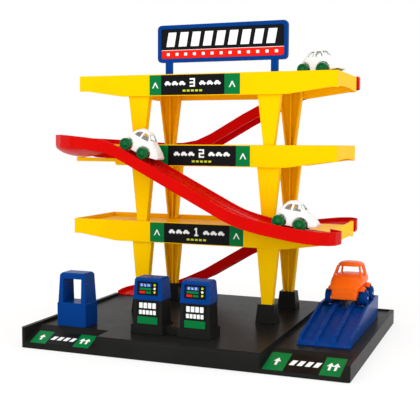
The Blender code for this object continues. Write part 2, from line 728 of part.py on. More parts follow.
def hook(kit, obj, name, x, level, front, wall_top):
    """A hook on the ramp's inner wall that hangs over the deck's rim, on a web where the wall is lower."""
    top = DECK_TOP[level] + GAP
    if front:
        near = DECK_FRONT - RAMP_CLEAR / 2 - RAMP_WALL * 0.6
        far = DECK_FRONT + DECK_WALL + GAP
        lip = (far, far + 1.6 * MM)
        span = (near, far + 1.6 * MM)
    else:
        near = DECK_BACK + RAMP_CLEAR + RAMP_WALL * 0.6
        far = DECK_BACK - DECK_WALL - GAP
        lip = (far - 1.6 * MM, far)
        span = (far - 1.6 * MM, near)
    half = 4 * MM
    kit.join(obj, name, boxes(name, ((x - half, span[0], top), (x + half, span[1], top + 1.8 * MM))))
    if wall_top < top:
        face = DECK_BACK + RAMP_CLEAR
        kit.join(obj, name + "_web", boxes(name + "_web", (
            (x - half - 1 * MM, face + 0.1 * MM, wall_top - 5 * MM),
            (x + half + 1 * MM, face + RAMP_WALL - 0.1 * MM, top + 1.5 * MM))))
    kit.join(obj, name + "_lip", boxes(name + "_lip", (
        (x - half + 0.1 * MM, lip[0], top - 3.4 * MM), (x + half - 0.1 * MM, lip[1], top + 1 * MM))))


def upper_ramp(kit, look):
    y = ramp_back_y()
    join = TURN_X + 0.5 * MM
    line = [(x, z) for x, z in UPPER_LINE if x * MM > join + 1 * MM] + [(join / MM, UPPER_LINE[-1][1])]
    obj = kit.piece("Ramp_upper", loft("Ramp_upper", straight_sections(line, y)), look)
    ramp_gate(kit, obj, "Ramp_upper_gate", y, 1, GATE_LEFT, GATE_RIGHT, UPPER_LINE)
    at = GATE_LEFT - HOOK_LEFT
    hook(kit, obj, "Ramp_upper_hook", at, 2, False, height_at(UPPER_LINE, at))
    smooth(obj, 25)
    return obj


def ramp_gate(kit, obj, name, y, outside, left, right, line):
    """Takes the inner wall away above the floor, where cars cross to the deck."""
    inner = y - outside * RAMP_WIDTH / 2
    sill = GAP - RAMP_RIM
    near, far = sorted((inner - outside * 1 * MM, inner + outside * (RAMP_WALL + 0.2 * MM)))
    between = sorted(x * MM for x, _ in line if left < x * MM < right)
    outline = [(x, height_at(line, x) + sill) for x in [left, *between, right]]
    high = max(z for _, z in outline) + 0.05
    outline += [(right, high), (left, high)]
    kit.cut(obj, name, prism(name, outline, "y", near, far))


def turn_bank(share):
    """Height of the floor's outer edge over its inner edge, at a share of the half circle."""
    if share < 0.35:
        return TURN_BANK * math.sin(math.pi / 2 * share / 0.35)
    if share < 0.8:
        return TURN_BANK
    return TURN_BANK + (BANK_LEFT - TURN_BANK) * (share - 0.8) / 0.2


def turn_sections():
    """The banked half circle, from the back round the left side to the front."""
    centre_y = (ramp_back_y() + ramp_front_y()) / 2
    radius = (ramp_back_y() - ramp_front_y()) / 2
    start, stop = TURN_FLOOR
    sections = []
    for i in range(TURN_STEPS + 1):
        share = i / TURN_STEPS
        angle = math.pi / 2 + math.pi * share
        across = (math.cos(angle), math.sin(angle))
        centre = (TURN_X + radius * across[0], centre_y + radius * across[1])
        floor = start + (stop - start) * share
        bank = turn_bank(share)
        outer = between(TURN_RIM, share) * MM
        inner = floor - bank / 2 + RAMP_RIM
        swell = math.sin(math.pi * share)
        heights = (RAMP_HEIGHT + (TURN_INNER_HEIGHT - RAMP_HEIGHT) * swell,
                   RAMP_HEIGHT + (TURN_HEIGHT - RAMP_HEIGHT) * swell)
        rims = (RAMP_RIM, outer - floor - bank / 2)
        sections.append(ramp_section(centre, across, (inner, outer), heights, rims))
    return sections


def middle_floor(x):
    """Height of the middle ramp's floor along its near side."""
    return height_at(MIDDLE_LINE, x) - between(MIDDLE_RIM, x / MM) * MM


def middle_ramp(kit, look):
    """The half-circle turn and the ramp down to the lowest deck, in one piece."""
    sections = turn_sections()
    y = ramp_front_y()
    for x in reversed(line_stations(MIDDLE_LINE)):
        if x <= TURN_X + 2 * MM:
            continue
        outer = height_at(MIDDLE_LINE, x)
        floor = middle_floor(x)
        left = max(0.0, 1 - (x - TURN_X) / BANK_FADE)
        rim = outer - floor
        inner_rim = rim + (RAMP_RIM - rim) * left
        inner = floor - BANK_LEFT * left + inner_rim
        sections.append(ramp_section(
            (x, y), (0, -1), (inner, outer), (RAMP_HEIGHT, RAMP_HEIGHT), (inner_rim, rim),
            end_tuck(MIDDLE_LINE, x)))
    obj = kit.piece("Ramp_middle", loft("Ramp_middle", sections), look)
    left = GATE_LEFT + GATE_LATE
    ramp_gate(kit, obj, "Ramp_middle_gate", y, -1, left, GATE_RIGHT, MIDDLE_LINE)
    at = left - HOOK_LEFT - 1 * MM
    hook(kit, obj, "Ramp_middle_hook", at, 0, True, height_at(MIDDLE_LINE, at))
    smooth(obj, 25)
    return obj


def foot_sections():
    """The quarter turn to the front at the lower ramp's foot, and the short straight end after it."""
    y = ramp_back_y() - FOOT_RADIUS
    end = BASE_LEFT_BACK + 1.5 * MM
    start_top = LOWER_LINE[-1][1] * MM
    quarter = FOOT_RADIUS * math.pi / 2
    length = quarter + y - end
    sections = []
    for i in range(FOOT_STEPS + 1):
        angle = math.pi / 2 * (1 + i / FOOT_STEPS)
        across = (math.cos(angle), math.sin(angle))
        centre = (FOOT_X + FOOT_RADIUS * across[0], y + FOOT_RADIUS * across[1])
        top = start_top + (FOOT_TOP - start_top) * quarter * i / FOOT_STEPS / length
        sections.append(ramp_section(centre, across, (top, top), (RAMP_HEIGHT, RAMP_HEIGHT)))
    sections.append(ramp_section(
        (FOOT_X - FOOT_RADIUS, end), (-1, 0), (FOOT_TOP, FOOT_TOP), (RAMP_HEIGHT, RAMP_HEIGHT)))
    return sections


def lower_ramp(kit, look):
    y = ramp_back_y()
    sections = straight_sections(LOWER_LINE, y) + foot_sections()
    obj = kit.piece("Ramp_lower", loft("Ramp_lower", sections), look)
    kit.cut(obj, "Ramp_lower_foot", boxes(
        "Ramp_lower_foot", ((-1.0, y - 0.1, -0.1), (0.5, y + 0.1, BASE_FLOOR + GAP))))
    ramp_gate(kit, obj, "Ramp_lower_gate", y, 1, GATE_LEFT, GATE_RIGHT, LOWER_LINE)
    at = GATE_LEFT - HOOK_LEFT
    hook(kit, obj, "Ramp_lower_hook", at, 0, False, height_at(LOWER_LINE, at))
    smooth(obj, 25)
    return obj


def notch_for_turn(kit, target):
    """Lets the turn lie in the middle deck's left end with air all round."""
    sections = []
    for section in turn_sections():
        inner_bottom, inner_top = Vector(section[0]), Vector(section[1])
        outer_bottom, outer_top = Vector(section[13]), Vector(section[12])
        across = (outer_bottom - inner_bottom)
        across.z = 0
        across.normalize()
        low = min(inner_bottom.z, outer_bottom.z) - GAP
        a = inner_bottom - across * GAP
        b = outer_bottom + across * GAP
        sections.append([(a.x, a.y, low), (a.x, a.y, inner_top.z + 0.03), (b.x, b.y, outer_top.z + 0.03),
                         (b.x, b.y, low)])
    kit.cut(target, "Deck_2_turn_notch", loft("Deck_2_turn_notch", sections))


def sign_front():
    return DECK_FRONT + DECK_WALL + 2 * GAP


def sign_board(kit, look):
    front = sign_front()
    outline = rounded_rectangle(SIGN_LEFT, SIGN_BOTTOM, SIGN_WIDTH, SIGN_HEIGHT, SIGN_ROUND)
    obj = kit.piece("Sign_board", prism("Sign_board", outline, "y", front, front + SIGN_THICK), look)
    recess = rounded_rectangle(
        SIGN_LEFT + SIGN_FRAME, SIGN_BOTTOM + SIGN_FRAME, SIGN_WIDTH - 2 * SIGN_FRAME,
        SIGN_HEIGHT - 2 * SIGN_FRAME, SIGN_ROUND - 2 * MM)
    kit.cut(obj, "Sign_recess", prism("Sign_recess", recess, "y", front - 0.01, front + SIGN_RECESS))
    kit.cut(obj, "Sign_back", prism("Sign_back", recess, "y", front + SIGN_THICK - SIGN_RECESS, front + 0.05))
    foot = deck_floor(2) + GAP
    legs, pegs = [], []
    for x in SIGN_LEGS:
        half = SIGN_LEG_WIDTH / 2
        legs.append(((x - half, front + 0.4 * MM, foot),
                     (x + half, front + SIGN_THICK - 0.4 * MM, SIGN_BOTTOM + 2 * MM)))
        pegs.append(((x - half + 1 * MM, front + 1 * MM, foot - DECK_FLOOR),
                     (x + half - 1 * MM, front + SIGN_THICK - 1 * MM, foot + 2 * MM)))
    kit.join(obj, "Sign_legs", boxes("Sign_legs", *legs))
    kit.join(obj, "Sign_pegs", boxes("Sign_pegs", *pegs))
    smooth(obj, 30)


def pump_island(kit, look):
    y = ISLAND_FRONT + PLINTH_DEPTH / 2
    low = BASE_FLOOR + GAP
    foot = (PLINTH_WIDTH, PLINTH_DEPTH)
    top = (PLINTH_WIDTH - 2 * PLINTH_TAPER, PLINTH_DEPTH - 2 * PLINTH_TAPER)
    high = BASE_FLOOR + ISLAND_HEIGHT
    obj = kit.piece("Pump_island", loft("Pump_island", frustum(PUMP_X[0], y, low, high, foot, top)), look)
    kit.join(obj, "Island_second", loft("Island_second", frustum(PUMP_X[1], y, low, high, foot, top)))
    kit.join(obj, "Island_bridge", boxes("Island_bridge", (
        (PUMP_X[0], y - BRIDGE_DEPTH / 2, low + 0.1 * MM),
        (PUMP_X[1], y + BRIDGE_DEPTH / 2, BASE_FLOOR + BRIDGE_HEIGHT))))
    recess = []
    hollow = []
    for x in PUMP_X:
        a, b = PUMP_FOOT_WIDTH / 2 + GAP, PUMP_FOOT_DEPTH / 2 + GAP
        recess.append(((x - a, y - b, high - 1.5 * MM), (x + a, y + b, 1.0)))
        a, b = PLINTH_WIDTH / 2 - 4 * MM, PLINTH_DEPTH / 2 - 4 * MM
        hollow.append(((x - a, y - b, 0), (x + a, y + b, high - 4 * MM)))
    kit.cut(obj, "Island_recess", boxes("Island_recess", *recess))
    kit.cut(obj, "Island_hollow", boxes("Island_hollow", *hollow))
    smooth(obj, 20)


def pump(kit, body_look, head_look, index):
    side = ("left", "right")[index]
    x, y = PUMP_X[index], ISLAND_FRONT + PLINTH_DEPTH / 2
    low = BASE_FLOOR + ISLAND_HEIGHT - 1.5 * MM + GAP
    high = BASE_FLOOR + ISLAND_HEIGHT + PUMP_BODY_HEIGHT
    foot, size = (PUMP_FOOT_WIDTH, PUMP_FOOT_DEPTH), (PUMP_BODY_WIDTH, PUMP_BODY_DEPTH)
    solid = loft(f"Pump_body_{side}", frustum(x, y, low, high, foot, size))
    body = kit.piece(f"Pump_body_{side}", solid, body_look)
    a, b = PUMP_BODY_WIDTH / 2 - 2 * MM, PUMP_BODY_DEPTH / 2 - 2 * MM
    kit.cut(body, f"Pump_hollow_{side}", boxes(
        f"Pump_hollow_{side}", ((x - a, y - b, 0), (x + a, y + b, high - 2 * MM))))
    bottom = high + GAP
    top = bottom + PUMP_HEAD_HEIGHT
    shoulder = top - 2.2 * MM
    foot = (PUMP_HEAD_WIDTH, PUMP_HEAD_DEPTH)
    narrow = (PUMP_HEAD_WIDTH - 2 * PUMP_HEAD_TAPER, PUMP_HEAD_DEPTH - 2 * PUMP_HEAD_TAPER)
    crown = (narrow[0] - 3 * MM, narrow[1] - 3 * MM)
    sections = frustum(x, y, bottom, shoulder, foot, narrow) + frustum(x, y, top, top, crown, crown)[:1]
    head = kit.piece(f"Pump_head_{side}", loft(f"Pump_head_{side}", sections), head_look)
    middle = bottom + PUMP_HEAD_HEIGHT * 0.52
    front = y - PUMP_HEAD_DEPTH / 2
    tilt = PUMP_HEAD_TAPER / PUMP_HEAD_HEIGHT
    window = []
    for offset in (-DISPLAY_HEIGHT / 2, DISPLAY_HEIGHT / 2):
        z = middle + offset
        deep = front + tilt * (z - bottom) + DISPLAY_RECESS
        window.append((z, deep))
    half = DISPLAY_WIDTH / 2
    kit.cut(head, f"Pump_display_{side}", prism(
        f"Pump_display_{side}",
        [(front - 0.01, window[0][0]), (window[0][1], window[0][0]), (window[1][1], window[1][0]),
         (front - 0.01, window[1][0])], "x", x - half, x + half))
    a, b = PUMP_HEAD_WIDTH / 2 - 4 * MM, PUMP_HEAD_DEPTH / 2 - 4 * MM
    kit.cut(head, f"Pump_head_hollow_{side}", boxes(
        f"Pump_head_hollow_{side}", ((x - a, y - b, bottom - 0.01), (x + a, y + b, top - 4 * MM))))
    smooth(head, 20)


def booth(kit, look):
    x, y = BOOTH_LEFT + BOOTH_WIDTH / 2, BOOTH_FRONT + BOOTH_DEPTH / 2
    low = BASE_FLOOR + GAP
    belt = BASE_FLOOR + BOOTH_BELT
    top = BASE_FLOOR + BOOTH_HEIGHT
    foot = (BOOTH_WIDTH, BOOTH_DEPTH)
    upper = (BOOTH_WIDTH - 1.6 * MM, BOOTH_DEPTH - 1.6 * MM)
    narrow = (upper[0] - 2 * BOOTH_TAPER, upper[1] - 2 * BOOTH_TAPER)
    crown = (narrow[0] - 4 * MM, narrow[1] - 4 * MM)
    sections = frustum(x, y, low, belt, foot, foot)
    sections += frustum(x, y, belt + 0.8 * MM, top - 2.5 * MM, upper, narrow)
    sections += frustum(x, y, top, top, crown, crown)[:1]
    obj = kit.piece("Cashier_booth", loft("Cashier_booth", sections), look)
    half = WINDOW_WIDTH / 2
    kit.cut(obj, "Booth_window", boxes("Booth_window", (
        (x - half, -0.1, BASE_FLOOR + WINDOW_LOW), (x + half, 0.2, BASE_FLOOR + WINDOW_HIGH))))
    a, b = BOOTH_WIDTH / 2 - BOOTH_WALL, BOOTH_DEPTH / 2 - BOOTH_WALL
    kit.cut(obj, "Booth_hollow", boxes("Booth_hollow", ((x - a, y - b, 0), (x + a, y + b, belt - BOOTH_WALL))))
    smooth(obj, 20)


def wedge_floor(y):
    """Height of the service ramp's channels at the depth y."""
    share = min(1.0, (y - WEDGE_FRONT) / (WEDGE_CREST - WEDGE_FRONT))
    return BASE_LANE + WEDGE_LOW + (WEDGE_HIGH - WEDGE_CHANNEL - WEDGE_LOW) * share


def service_ramp(kit, look):
    """A wedge with a flat top. Four ribs with rounded front ends leave three channels between them."""
    low = BASE_LANE + GAP
    high = BASE_LANE + WEDGE_HIGH
    start = WEDGE_FRONT + WEDGE_LIP
    depth = WEDGE_CHANNEL
    outline = [(WEDGE_FRONT, low), (WEDGE_BACK, low), (WEDGE_BACK, high), (WEDGE_CREST, high)]
    for share in (1, 0.6, 0.25, 0):
        y = start + depth * share
        outline.append((y, wedge_floor(y) + depth * math.sin(math.pi / 2 * share)))
    outline.append((WEDGE_FRONT, wedge_floor(WEDGE_FRONT)))
    right = WEDGE_LEFT + WEDGE_WIDTH
    obj = kit.piece("Service_ramp", prism("Service_ramp", outline, "x", WEDGE_LEFT, right), look)
    channels = []
    width = (WEDGE_WIDTH - 2 * WEDGE_EDGE - 2 * WEDGE_RIB) / 3
    stop = WEDGE_BACK - WEDGE_WALL
    for i in range(3):
        left = WEDGE_LEFT + WEDGE_EDGE + i * (width + WEDGE_RIB)
        side = [(start, wedge_floor(start) + 0.1 * MM), (WEDGE_CREST, high - depth), (stop, high - depth),
                (stop, high + 0.01), (start, high + 0.01)]
        channels.append([[(x, y, z) for y, z in side] for x in (left, left + width)])
    kit.cut(obj, "Service_ramp_channels", loft("Service_ramp_channels", *channels))
    thick = WEDGE_WALL
    slope = (high - depth - wedge_floor(WEDGE_FRONT)) / (WEDGE_CREST - WEDGE_FRONT)
    hollow_front = WEDGE_FRONT + (thick + 6 * MM) / slope
    ceiling = wedge_floor(hollow_front) - thick
    kit.cut(obj, "Service_ramp_hollow", prism(
        "Service_ramp_hollow",
        [(hollow_front, 0), (stop, 0), (stop, high - depth - thick),
         (WEDGE_CREST, high - depth - thick), (hollow_front, ceiling)],
        "x", WEDGE_LEFT + WEDGE_WALL, right - WEDGE_WALL))
    smooth(obj, 20)


def car_front(size):
    return size["length"] - size["rear"] - size["base"] / 2


def car_rear(size):
    return -size["base"] / 2 - size["rear"]


def car_top(size, x):
    """Height of the body above the ground at x, measured from the middle of the wheelbase, front positive."""
    share = (x - car_rear(size)) / size["length"]
    return size["height"] * between(size["side"], share)


def car_bottom(size, x):
    """Height of the body's lower edge, which rises at the front."""
    start = size["base"] / 2
    share = min(1.0, max(0.0, (x - start) / (car_front(size) - start)))
    return size["wheel"] * 0.3 + size["nose"] * share


def car_half_width(size, x):
    """Half width of the body at x: full along the middle, rounded at both ends."""
    middle = car_rear(size) + size["length"] * 0.47
    share = abs(x - middle) / (size["length"] * 0.53)
    return size["width"] / 2 * (1 - 0.34 * min(1.0, share) ** 4)


def car_section(size, x, shrink, lift):
    """Arched cross section of the body, made smaller by shrink on all sides but the bottom."""
    bottom = car_bottom(size, x) + lift
    half = car_half_width(size, x) - shrink
    height = car_top(size, x) - shrink - bottom
    points = []
    for i in range(CAR_ARC_STEPS + 1):
        angle = math.pi * i / CAR_ARC_STEPS
        c, s = math.cos(angle), math.sin(angle)
        z = bottom + height * abs(s) ** (2 / CAR_SQUARE)
        above = max(0.0, z - size["belt"]) / (size["height"] - size["belt"])
        across = math.copysign(abs(c) ** (2 / CAR_SQUARE), c) * half * (1 - (1 - size["roof"]) * above)
        points.append((x, across, z))
    return points


def car_stations(size, inset, count):
    rear = car_rear(size) + inset
    front = car_front(size) - inset
    stations = []
    for i in range(count):
        share = i / (count - 1)
        stations.append(rear + (front - rear) * (share - math.sin(2 * math.pi * share) * 0.035))
    return stations


def car_shell(kit, look, name, size, frame):
    """Hollow moulded body with open windows, wheel arches, a floor plate and axle bearings."""
    obj = kit.piece(f"{name}_shell", loft(
        f"{name}_shell", [car_section(size, x, 0.0, 0.0) for x in car_stations(size, 0.0, 11)], split=True),
        look, frame)
    inside = [car_section(size, x, CAR_WALL, -2 * MM) for x in car_stations(size, CAR_WALL, 6)]
    kit.cut(obj, f"{name}_inside", loft(f"{name}_inside", inside, split=True))
    axle_height = size["wheel"] / 2
    plate = size["wheel"] * 0.62
    inner = wheel_inner(size) - 1.2 * MM
    tray = inner - 1.8 * MM
    arch = axle_height + 1.4 * MM
    wide = size["base"] / 2 - arch - 0.4 * MM
    side = size["width"] / 2 - CAR_WALL * 0.5
    rear = max(-size["base"] / 2 - 3.5 * MM, car_rear(size) + CAR_WALL * 0.5)
    front = min(size["base"] / 2 + 3.5 * MM, car_front(size) - CAR_WALL * 0.5)
    kit.join(obj, f"{name}_floor", boxes(f"{name}_floor", (
        (rear, -tray, plate), (front, tray, plate + CAR_WALL))))
    bearings = []
    for x in (-size["base"] / 2, size["base"] / 2):
        for y in (2 * MM - inner, inner - 2 * MM):
            bearings.append(((x - 2.2 * MM, y - 1.5 * MM, axle_height - 2.2 * MM),
                             (x + 2.2 * MM, y + 1.5 * MM, plate + 0.6 * MM)))
    kit.join(obj, f"{name}_bearings", boxes(f"{name}_bearings", *bearings))
    kit.join(obj, f"{name}_bridge", boxes(f"{name}_bridge", (
        (-wide, -side, plate + 0.1 * MM), (wide, side, plate + CAR_WALL - 0.1 * MM))))
    arches, bores = bmesh.new(), bmesh.new()
    turn = Matrix.Rotation(math.pi / 2, 4, "X")
    for x in (-size["base"] / 2, size["base"] / 2):
        for way in (-1, 1):
            middle = way * (inner + 0.2 * MM + 0.02)
            bmesh.ops.create_cone(
                arches, cap_ends=True, segments=12, radius1=arch, radius2=arch, depth=0.04,
                matrix=Matrix.Translation((x, middle, axle_height)) @ turn)
        bmesh.ops.create_cone(
            bores, cap_ends=True, segments=8, radius1=AXLE_RADIUS + AXLE_PLAY, radius2=AXLE_RADIUS + AXLE_PLAY,
            depth=0.2, matrix=Matrix.Translation((x, 0, axle_height)) @ turn)
    kit.cut(obj, f"{name}_arches", finish(arches, f"{name}_arches"))
    kit.cut(obj, f"{name}_bores", finish(bores, f"{name}_bores"))
    car_windows(kit, obj, name, size)
    smooth(obj, 30)
    return obj


def car_windows(kit, obj, name, size):
    """Two windows in each side, a windscreen and a rear window."""
    rear = car_rear(size)
    length, height = size["length"], size["height"]
    sides = []
    for pane in size["panes"]:
        outline = [(rear + share * length, level * height) for share, level in pane]
        sides.append([[(x, y, z) for x, z in outline] for y in (-0.05, 0.05)])
    kit.cut(obj, f"{name}_side_windows", loft(f"{name}_side_windows", *sides))
    width = size["width"]
    screens = []
    for start, end, low, high, wide, narrow in size["screens"]:
        shape = ((-wide * width, low * height), (wide * width, low * height), (narrow * width, high * height),
                 (-narrow * width, high * height))
        screens.append([[(rear + share * length, y, z) for y, z in shape] for share in (start, end)])
    kit.cut(obj, f"{name}_screens", loft(f"{name}_screens", *screens))


def wheel_inner(size):
    """Distance from the car's middle to a wheel's inner face."""
    return size["over"] / 2 - size["tyre"]


def wheel(kit, look, name, size, frame, x, way):
    """A tyre with a raised hub on its outer face and a blind bore for the axle."""
    radius = size["wheel"] / 2
    inner = wheel_inner(size)
    width = size["tyre"]
    profile = (
        (radius, 0.0), (radius, width * 0.7), (radius * 0.9, width * 0.86), (radius * 0.62, width * 0.86),
        (radius * 0.5, width),
    )
    obj = kit.piece(name, turned(name, profile, WHEEL_SIDES), look, frame)
    obj.location = (x, way * inner, radius)
    if way < 0:
        obj.rotation_euler = (0, 0, math.pi)
    bm = bmesh.new()
    bmesh.ops.create_cone(
        bm, cap_ends=True, segments=8, radius1=AXLE_RADIUS + GAP, radius2=AXLE_RADIUS + GAP,
        depth=2 * width * AXLE_SHARE, matrix=Matrix.Rotation(math.pi / 2, 4, "X"))
    bore = kit.cut(obj, f"{name}_bore", finish(bm, f"{name}_bore"))
    bore.location = obj.location
    smooth(obj, 40)
    return obj


def axle(kit, look, name, size, frame, x):
    half = wheel_inner(size) + size["tyre"] * AXLE_SHARE - GAP
    profile = ((AXLE_RADIUS, -half), (AXLE_RADIUS, half))
    obj = kit.piece(name, turned(name, profile, 8), look, frame)
    obj.location = (x, 0, size["wheel"] / 2)
    smooth(obj, 50)


def car(kit, looks, name, size, place, heading, pitch, roll=0.0):
    """A whole toy car; place is the ground point under the middle of its wheelbase."""
    turn = Matrix.Rotation(heading, 4, "Z") @ Matrix.Rotation(-pitch, 4, "Y") @ Matrix.Rotation(roll, 4, "X")
    frame = kit.empty(name, Matrix.Translation(place) @ turn)
    car_shell(kit, looks[0], name, size, frame)
    for end, x in (("front", size["base"] / 2), ("rear", -size["base"] / 2)):
        axle(kit, looks[2], f"{name}_{end}_axle", size, frame, x)
        for side, way in (("left", 1), ("right", -1)):
            wheel(kit, looks[1], f"{name}_{end}_{side}_wheel", size, frame, x, way)


def car_on_ramp(x, base, play):
    """Ground point and pitch of a car whose two axles stand on the middle ramp's floor at both sides of x."""
    pitch = 0.0
    for _ in range(4):
        reach = base / 2 * math.cos(pitch)
        before, after = middle_floor(x - reach), middle_floor(x + reach)
        pitch = math.atan2(after - before, 2 * reach)
    return (before + after) / 2 + play, pitch


def cars(kit, white, green, orange, blue, steel):
    looks = (white, green, steel)
    base = WHITE_CAR["base"]
    car(kit, looks, "Car_top_deck", WHITE_CAR, (TOP_CAR_X, TOP_CAR_Y, deck_floor(2) + GAP),
        math.radians(-TOP_CAR_TURN), 0.0)
    for name, x, play in (
            ("Car_ramp_high", HIGH_CAR_X, HIGH_CAR_PLAY), ("Car_ramp_low", LOW_CAR_X, LOW_CAR_PLAY)):
        z, pitch = car_on_ramp(x, base, play)
        car(kit, looks, name, WHITE_CAR, (x, ramp_front_y(), z), 0.0, pitch)
    middle = WEDGE_LEFT + WEDGE_WIDTH / 2
    ground = BASE_LANE + WEDGE_HIGH - WEDGE_CHANNEL + GAP
    car(kit, (orange, blue, steel), "Car_service", ORANGE_CAR, (middle, SERVICE_CAR_Y, ground),
        math.radians(-90), 0.0)


def centre_on_bounds(kit):
    """Moves the root so that the origin is under the middle of the whole, on the ground."""
    left = TURN_X - (ramp_back_y() - ramp_front_y()) / 2 - RAMP_WIDTH / 2
    back = ramp_back_y() + RAMP_WIDTH / 2
    kit.root.location = (-(left + BASE_WIDTH) / 2, -back / 2, 0)


def main():
    clear_scene()
    kit = Kit()
    yellow = material("Yellow plastic", YELLOW, 0.3)
    red = material("Red plastic", RED, 0.28)
    blue = material("Blue plastic", BLUE, 0.3)
    black = material("Black plastic", BLACK, 0.35)
    white = material("White plastic", WHITE, 0.35)
    orange = material("Orange plastic", ORANGE, 0.3)
    green = material("Green plastic", GREEN, 0.3)
    steel = material("Steel", STEEL, 0.3, 1.0)
    base_tray(kit, black)
    for x, face, way, name in post_places(0):
        post_socket(kit, black, x, face, way, name)
    for storey in range(3):
        for place in post_places(storey):
            post(kit, yellow, storey, place)
    for level in range(3):
        obj = deck(kit, yellow, level)
        if level == 1:
            notch_for_turn(kit, obj)
    upper_ramp(kit, red)
    middle_ramp(kit, red)
    lower_ramp(kit, red)
    sign_board(kit, blue)
    pump_island(kit, black)
    for index in range(2):
        pump(kit, black, blue, index)
    booth(kit, blue)
    service_ramp(kit, blue)
    cars(kit, white, green, orange, blue, steel)
    centre_on_bounds(kit)


main()
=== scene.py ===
"""Finishes, labels, light and camera of the toy service station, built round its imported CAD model."""

import json
import math

import bmesh
import bpy
from mathutils import Matrix, Vector


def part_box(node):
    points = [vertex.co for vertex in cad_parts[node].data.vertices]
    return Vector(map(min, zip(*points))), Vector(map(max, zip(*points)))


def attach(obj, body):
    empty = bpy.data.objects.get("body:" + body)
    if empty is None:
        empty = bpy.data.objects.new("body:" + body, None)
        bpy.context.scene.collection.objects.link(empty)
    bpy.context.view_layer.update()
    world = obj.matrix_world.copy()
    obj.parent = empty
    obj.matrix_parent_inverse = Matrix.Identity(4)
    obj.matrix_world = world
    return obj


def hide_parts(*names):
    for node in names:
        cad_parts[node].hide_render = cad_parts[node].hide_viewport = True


bl_info = {
    "name": "Toy service station",
    "version": (1, 0, 0),
    "blender": (4, 5, 0),
    "location": "3D View > Sidebar > Station",
    "description": "Finishes, labels and studio of a toy service station",
    "category": "Add Mesh",
}

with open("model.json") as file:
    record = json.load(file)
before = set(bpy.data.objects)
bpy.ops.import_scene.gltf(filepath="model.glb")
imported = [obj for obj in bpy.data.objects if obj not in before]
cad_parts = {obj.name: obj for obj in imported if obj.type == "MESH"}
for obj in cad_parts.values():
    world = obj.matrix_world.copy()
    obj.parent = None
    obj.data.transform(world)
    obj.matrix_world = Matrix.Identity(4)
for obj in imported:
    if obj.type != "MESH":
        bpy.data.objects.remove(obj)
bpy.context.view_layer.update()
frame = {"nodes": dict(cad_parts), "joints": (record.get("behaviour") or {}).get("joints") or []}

MM = 0.001
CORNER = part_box("Base_tray")[0]  # front left bottom corner of the base tray
STATION = "station"
WHITE_CARS = ("Car_top_deck", "Car_ramp_high", "Car_ramp_low")
SERVICE_CAR = "Car_service"


def spot(x, y, z):
    """A point of the row frame from millimetres measured at the base tray's front left corner."""
    return CORNER + Vector((x, y, z)) * MM


def in_mm(*lengths):
    return tuple(length * MM for length in lengths)


# Tables of looks and measures. A length is in metres where it's written with MM or in_mm, and otherwise in
# millimetres. Places are counted from the corner that spot() uses.

# paler: how much paler the rounded edges are painted, a painted highlight with a little wear
PLASTIC_LOOKS = {
    "yellow_plastic": {"roughness": 0.34, "mottle": 0.02, "paler": 1.05, "sheen": 0.012},
    "red_plastic": {"roughness": 0.26, "mottle": 0.03, "paler": 1.2, "sheen": 0.015},
    "blue_plastic": {"roughness": 0.26, "mottle": 0.05, "paler": 1.35, "sheen": 0.035},
    "black_plastic": {"roughness": 0.3, "mottle": 0.08, "paler": 1.4, "grain": 0.5, "sheen": 0.02},
    "white_plastic": {"roughness": 0.3, "mottle": 0.012, "paler": 1.02, "sheen": 0.15, "edge": 1.8 * MM},
    "orange_plastic": {"roughness": 0.28, "mottle": 0.03, "paler": 1.1, "sheen": 0.05, "edge": 1.0 * MM},
    "green_plastic": {"roughness": 0.12, "mottle": 0.06, "paler": 1.5, "sheen": 0.16},
}
PLASTIC_IOR = 1.5
PLASTIC_GRAIN_DEPTH, STEEL_LINE_DEPTH, FILM_WAVE_DEPTH = 0.04, 0.02, 0.03
FILM_ROUGHNESS, FILM_SHEEN = 0.32, 0.06

INKS = ("green", "black", "white", "lime", "red", "blue")
GREEN, BLACK, WHITE, LIME, RED, BLUE = range(len(INKS))

# Labels: gap below the film, thickness of the film, how far the ink stands above it and bites into it, and
# the step between one print and the next, so that prints that overlap aren't level
FILM_GAP, FILM, INK, INK_BITE, INK_STEP = 0.02 * MM, 0.25 * MM, 0.06 * MM, 0.01 * MM, 0.002 * MM
INK_LEVELS = 3

# Slope labels: name, left, right, width of the green end fields, the slope's foot and head as y, z, y, z,
# and where the label starts and ends along the slope
SLOPE_LABELS = (
    ("Entry_label", 11.5, 87.0, 20.0, (-10.0, 2.6, 34.0, 20.5), 11.3, 34.6),
    ("Exit_label", 289.0, 370.0, 21.8, (-10.0, 2.6, 50.0, 15.5), 10.9, 50.4),
)
SLOPE_ARROW_PITCH, SLOPE_ARROW_WIDTH = 6.4, 7.6
SLOPE_DASHES, SLOPE_DASH_ROOM, SLOPE_DASH_LEAN = 4, 6.6, 2.4  # the room is in dash lengths

# Deck labels from the lowest deck up: left end, inner edges of the two green fields, right end
DECK_LABELS = ((98.8, 118.0, 204.4, 221.8), (105.6, 123.2, 211.7, 229.3), (98.2, 113.8, 196.5, 216.0))
DECK_LABEL_DROP = 1.0  # from the deck's upper edge down to its label
DECK_CHEVRON = in_mm(8.4, 7.2, 2.0)  # width, height, stroke
DECK_DIGIT, DECK_DIGIT_LEFT = in_mm(10.6, 5.0, 8.4, 1.9), -2.5  # foot, width, height, stroke
DECK_CARS, DECK_FIRST_CAR, DECK_CAR_PITCH = 3, 13.2, 9.6
DECK_CAR = in_mm(11.4, 8.4)  # foot, width
DECK_MARKS, DECK_FIRST_MARK, DECK_MARK_PITCH = 5, 12.6, 5.4
DECK_MARK = in_mm(3.9, 3.8, 2.4, 0.5)  # foot, width, height, corner

SIGN_LEFT, SIGN_RIGHT, SIGN_BOTTOM, SIGN_TALL = 108.0, 273.0, 333.0, 45.0
SIGN_FRAME, SIGN_PLAY, SIGN_RECESS = 4.5, 0.3, 1.2
SIGN_STRIPE, SIGN_LINE = 9.9, 0.5
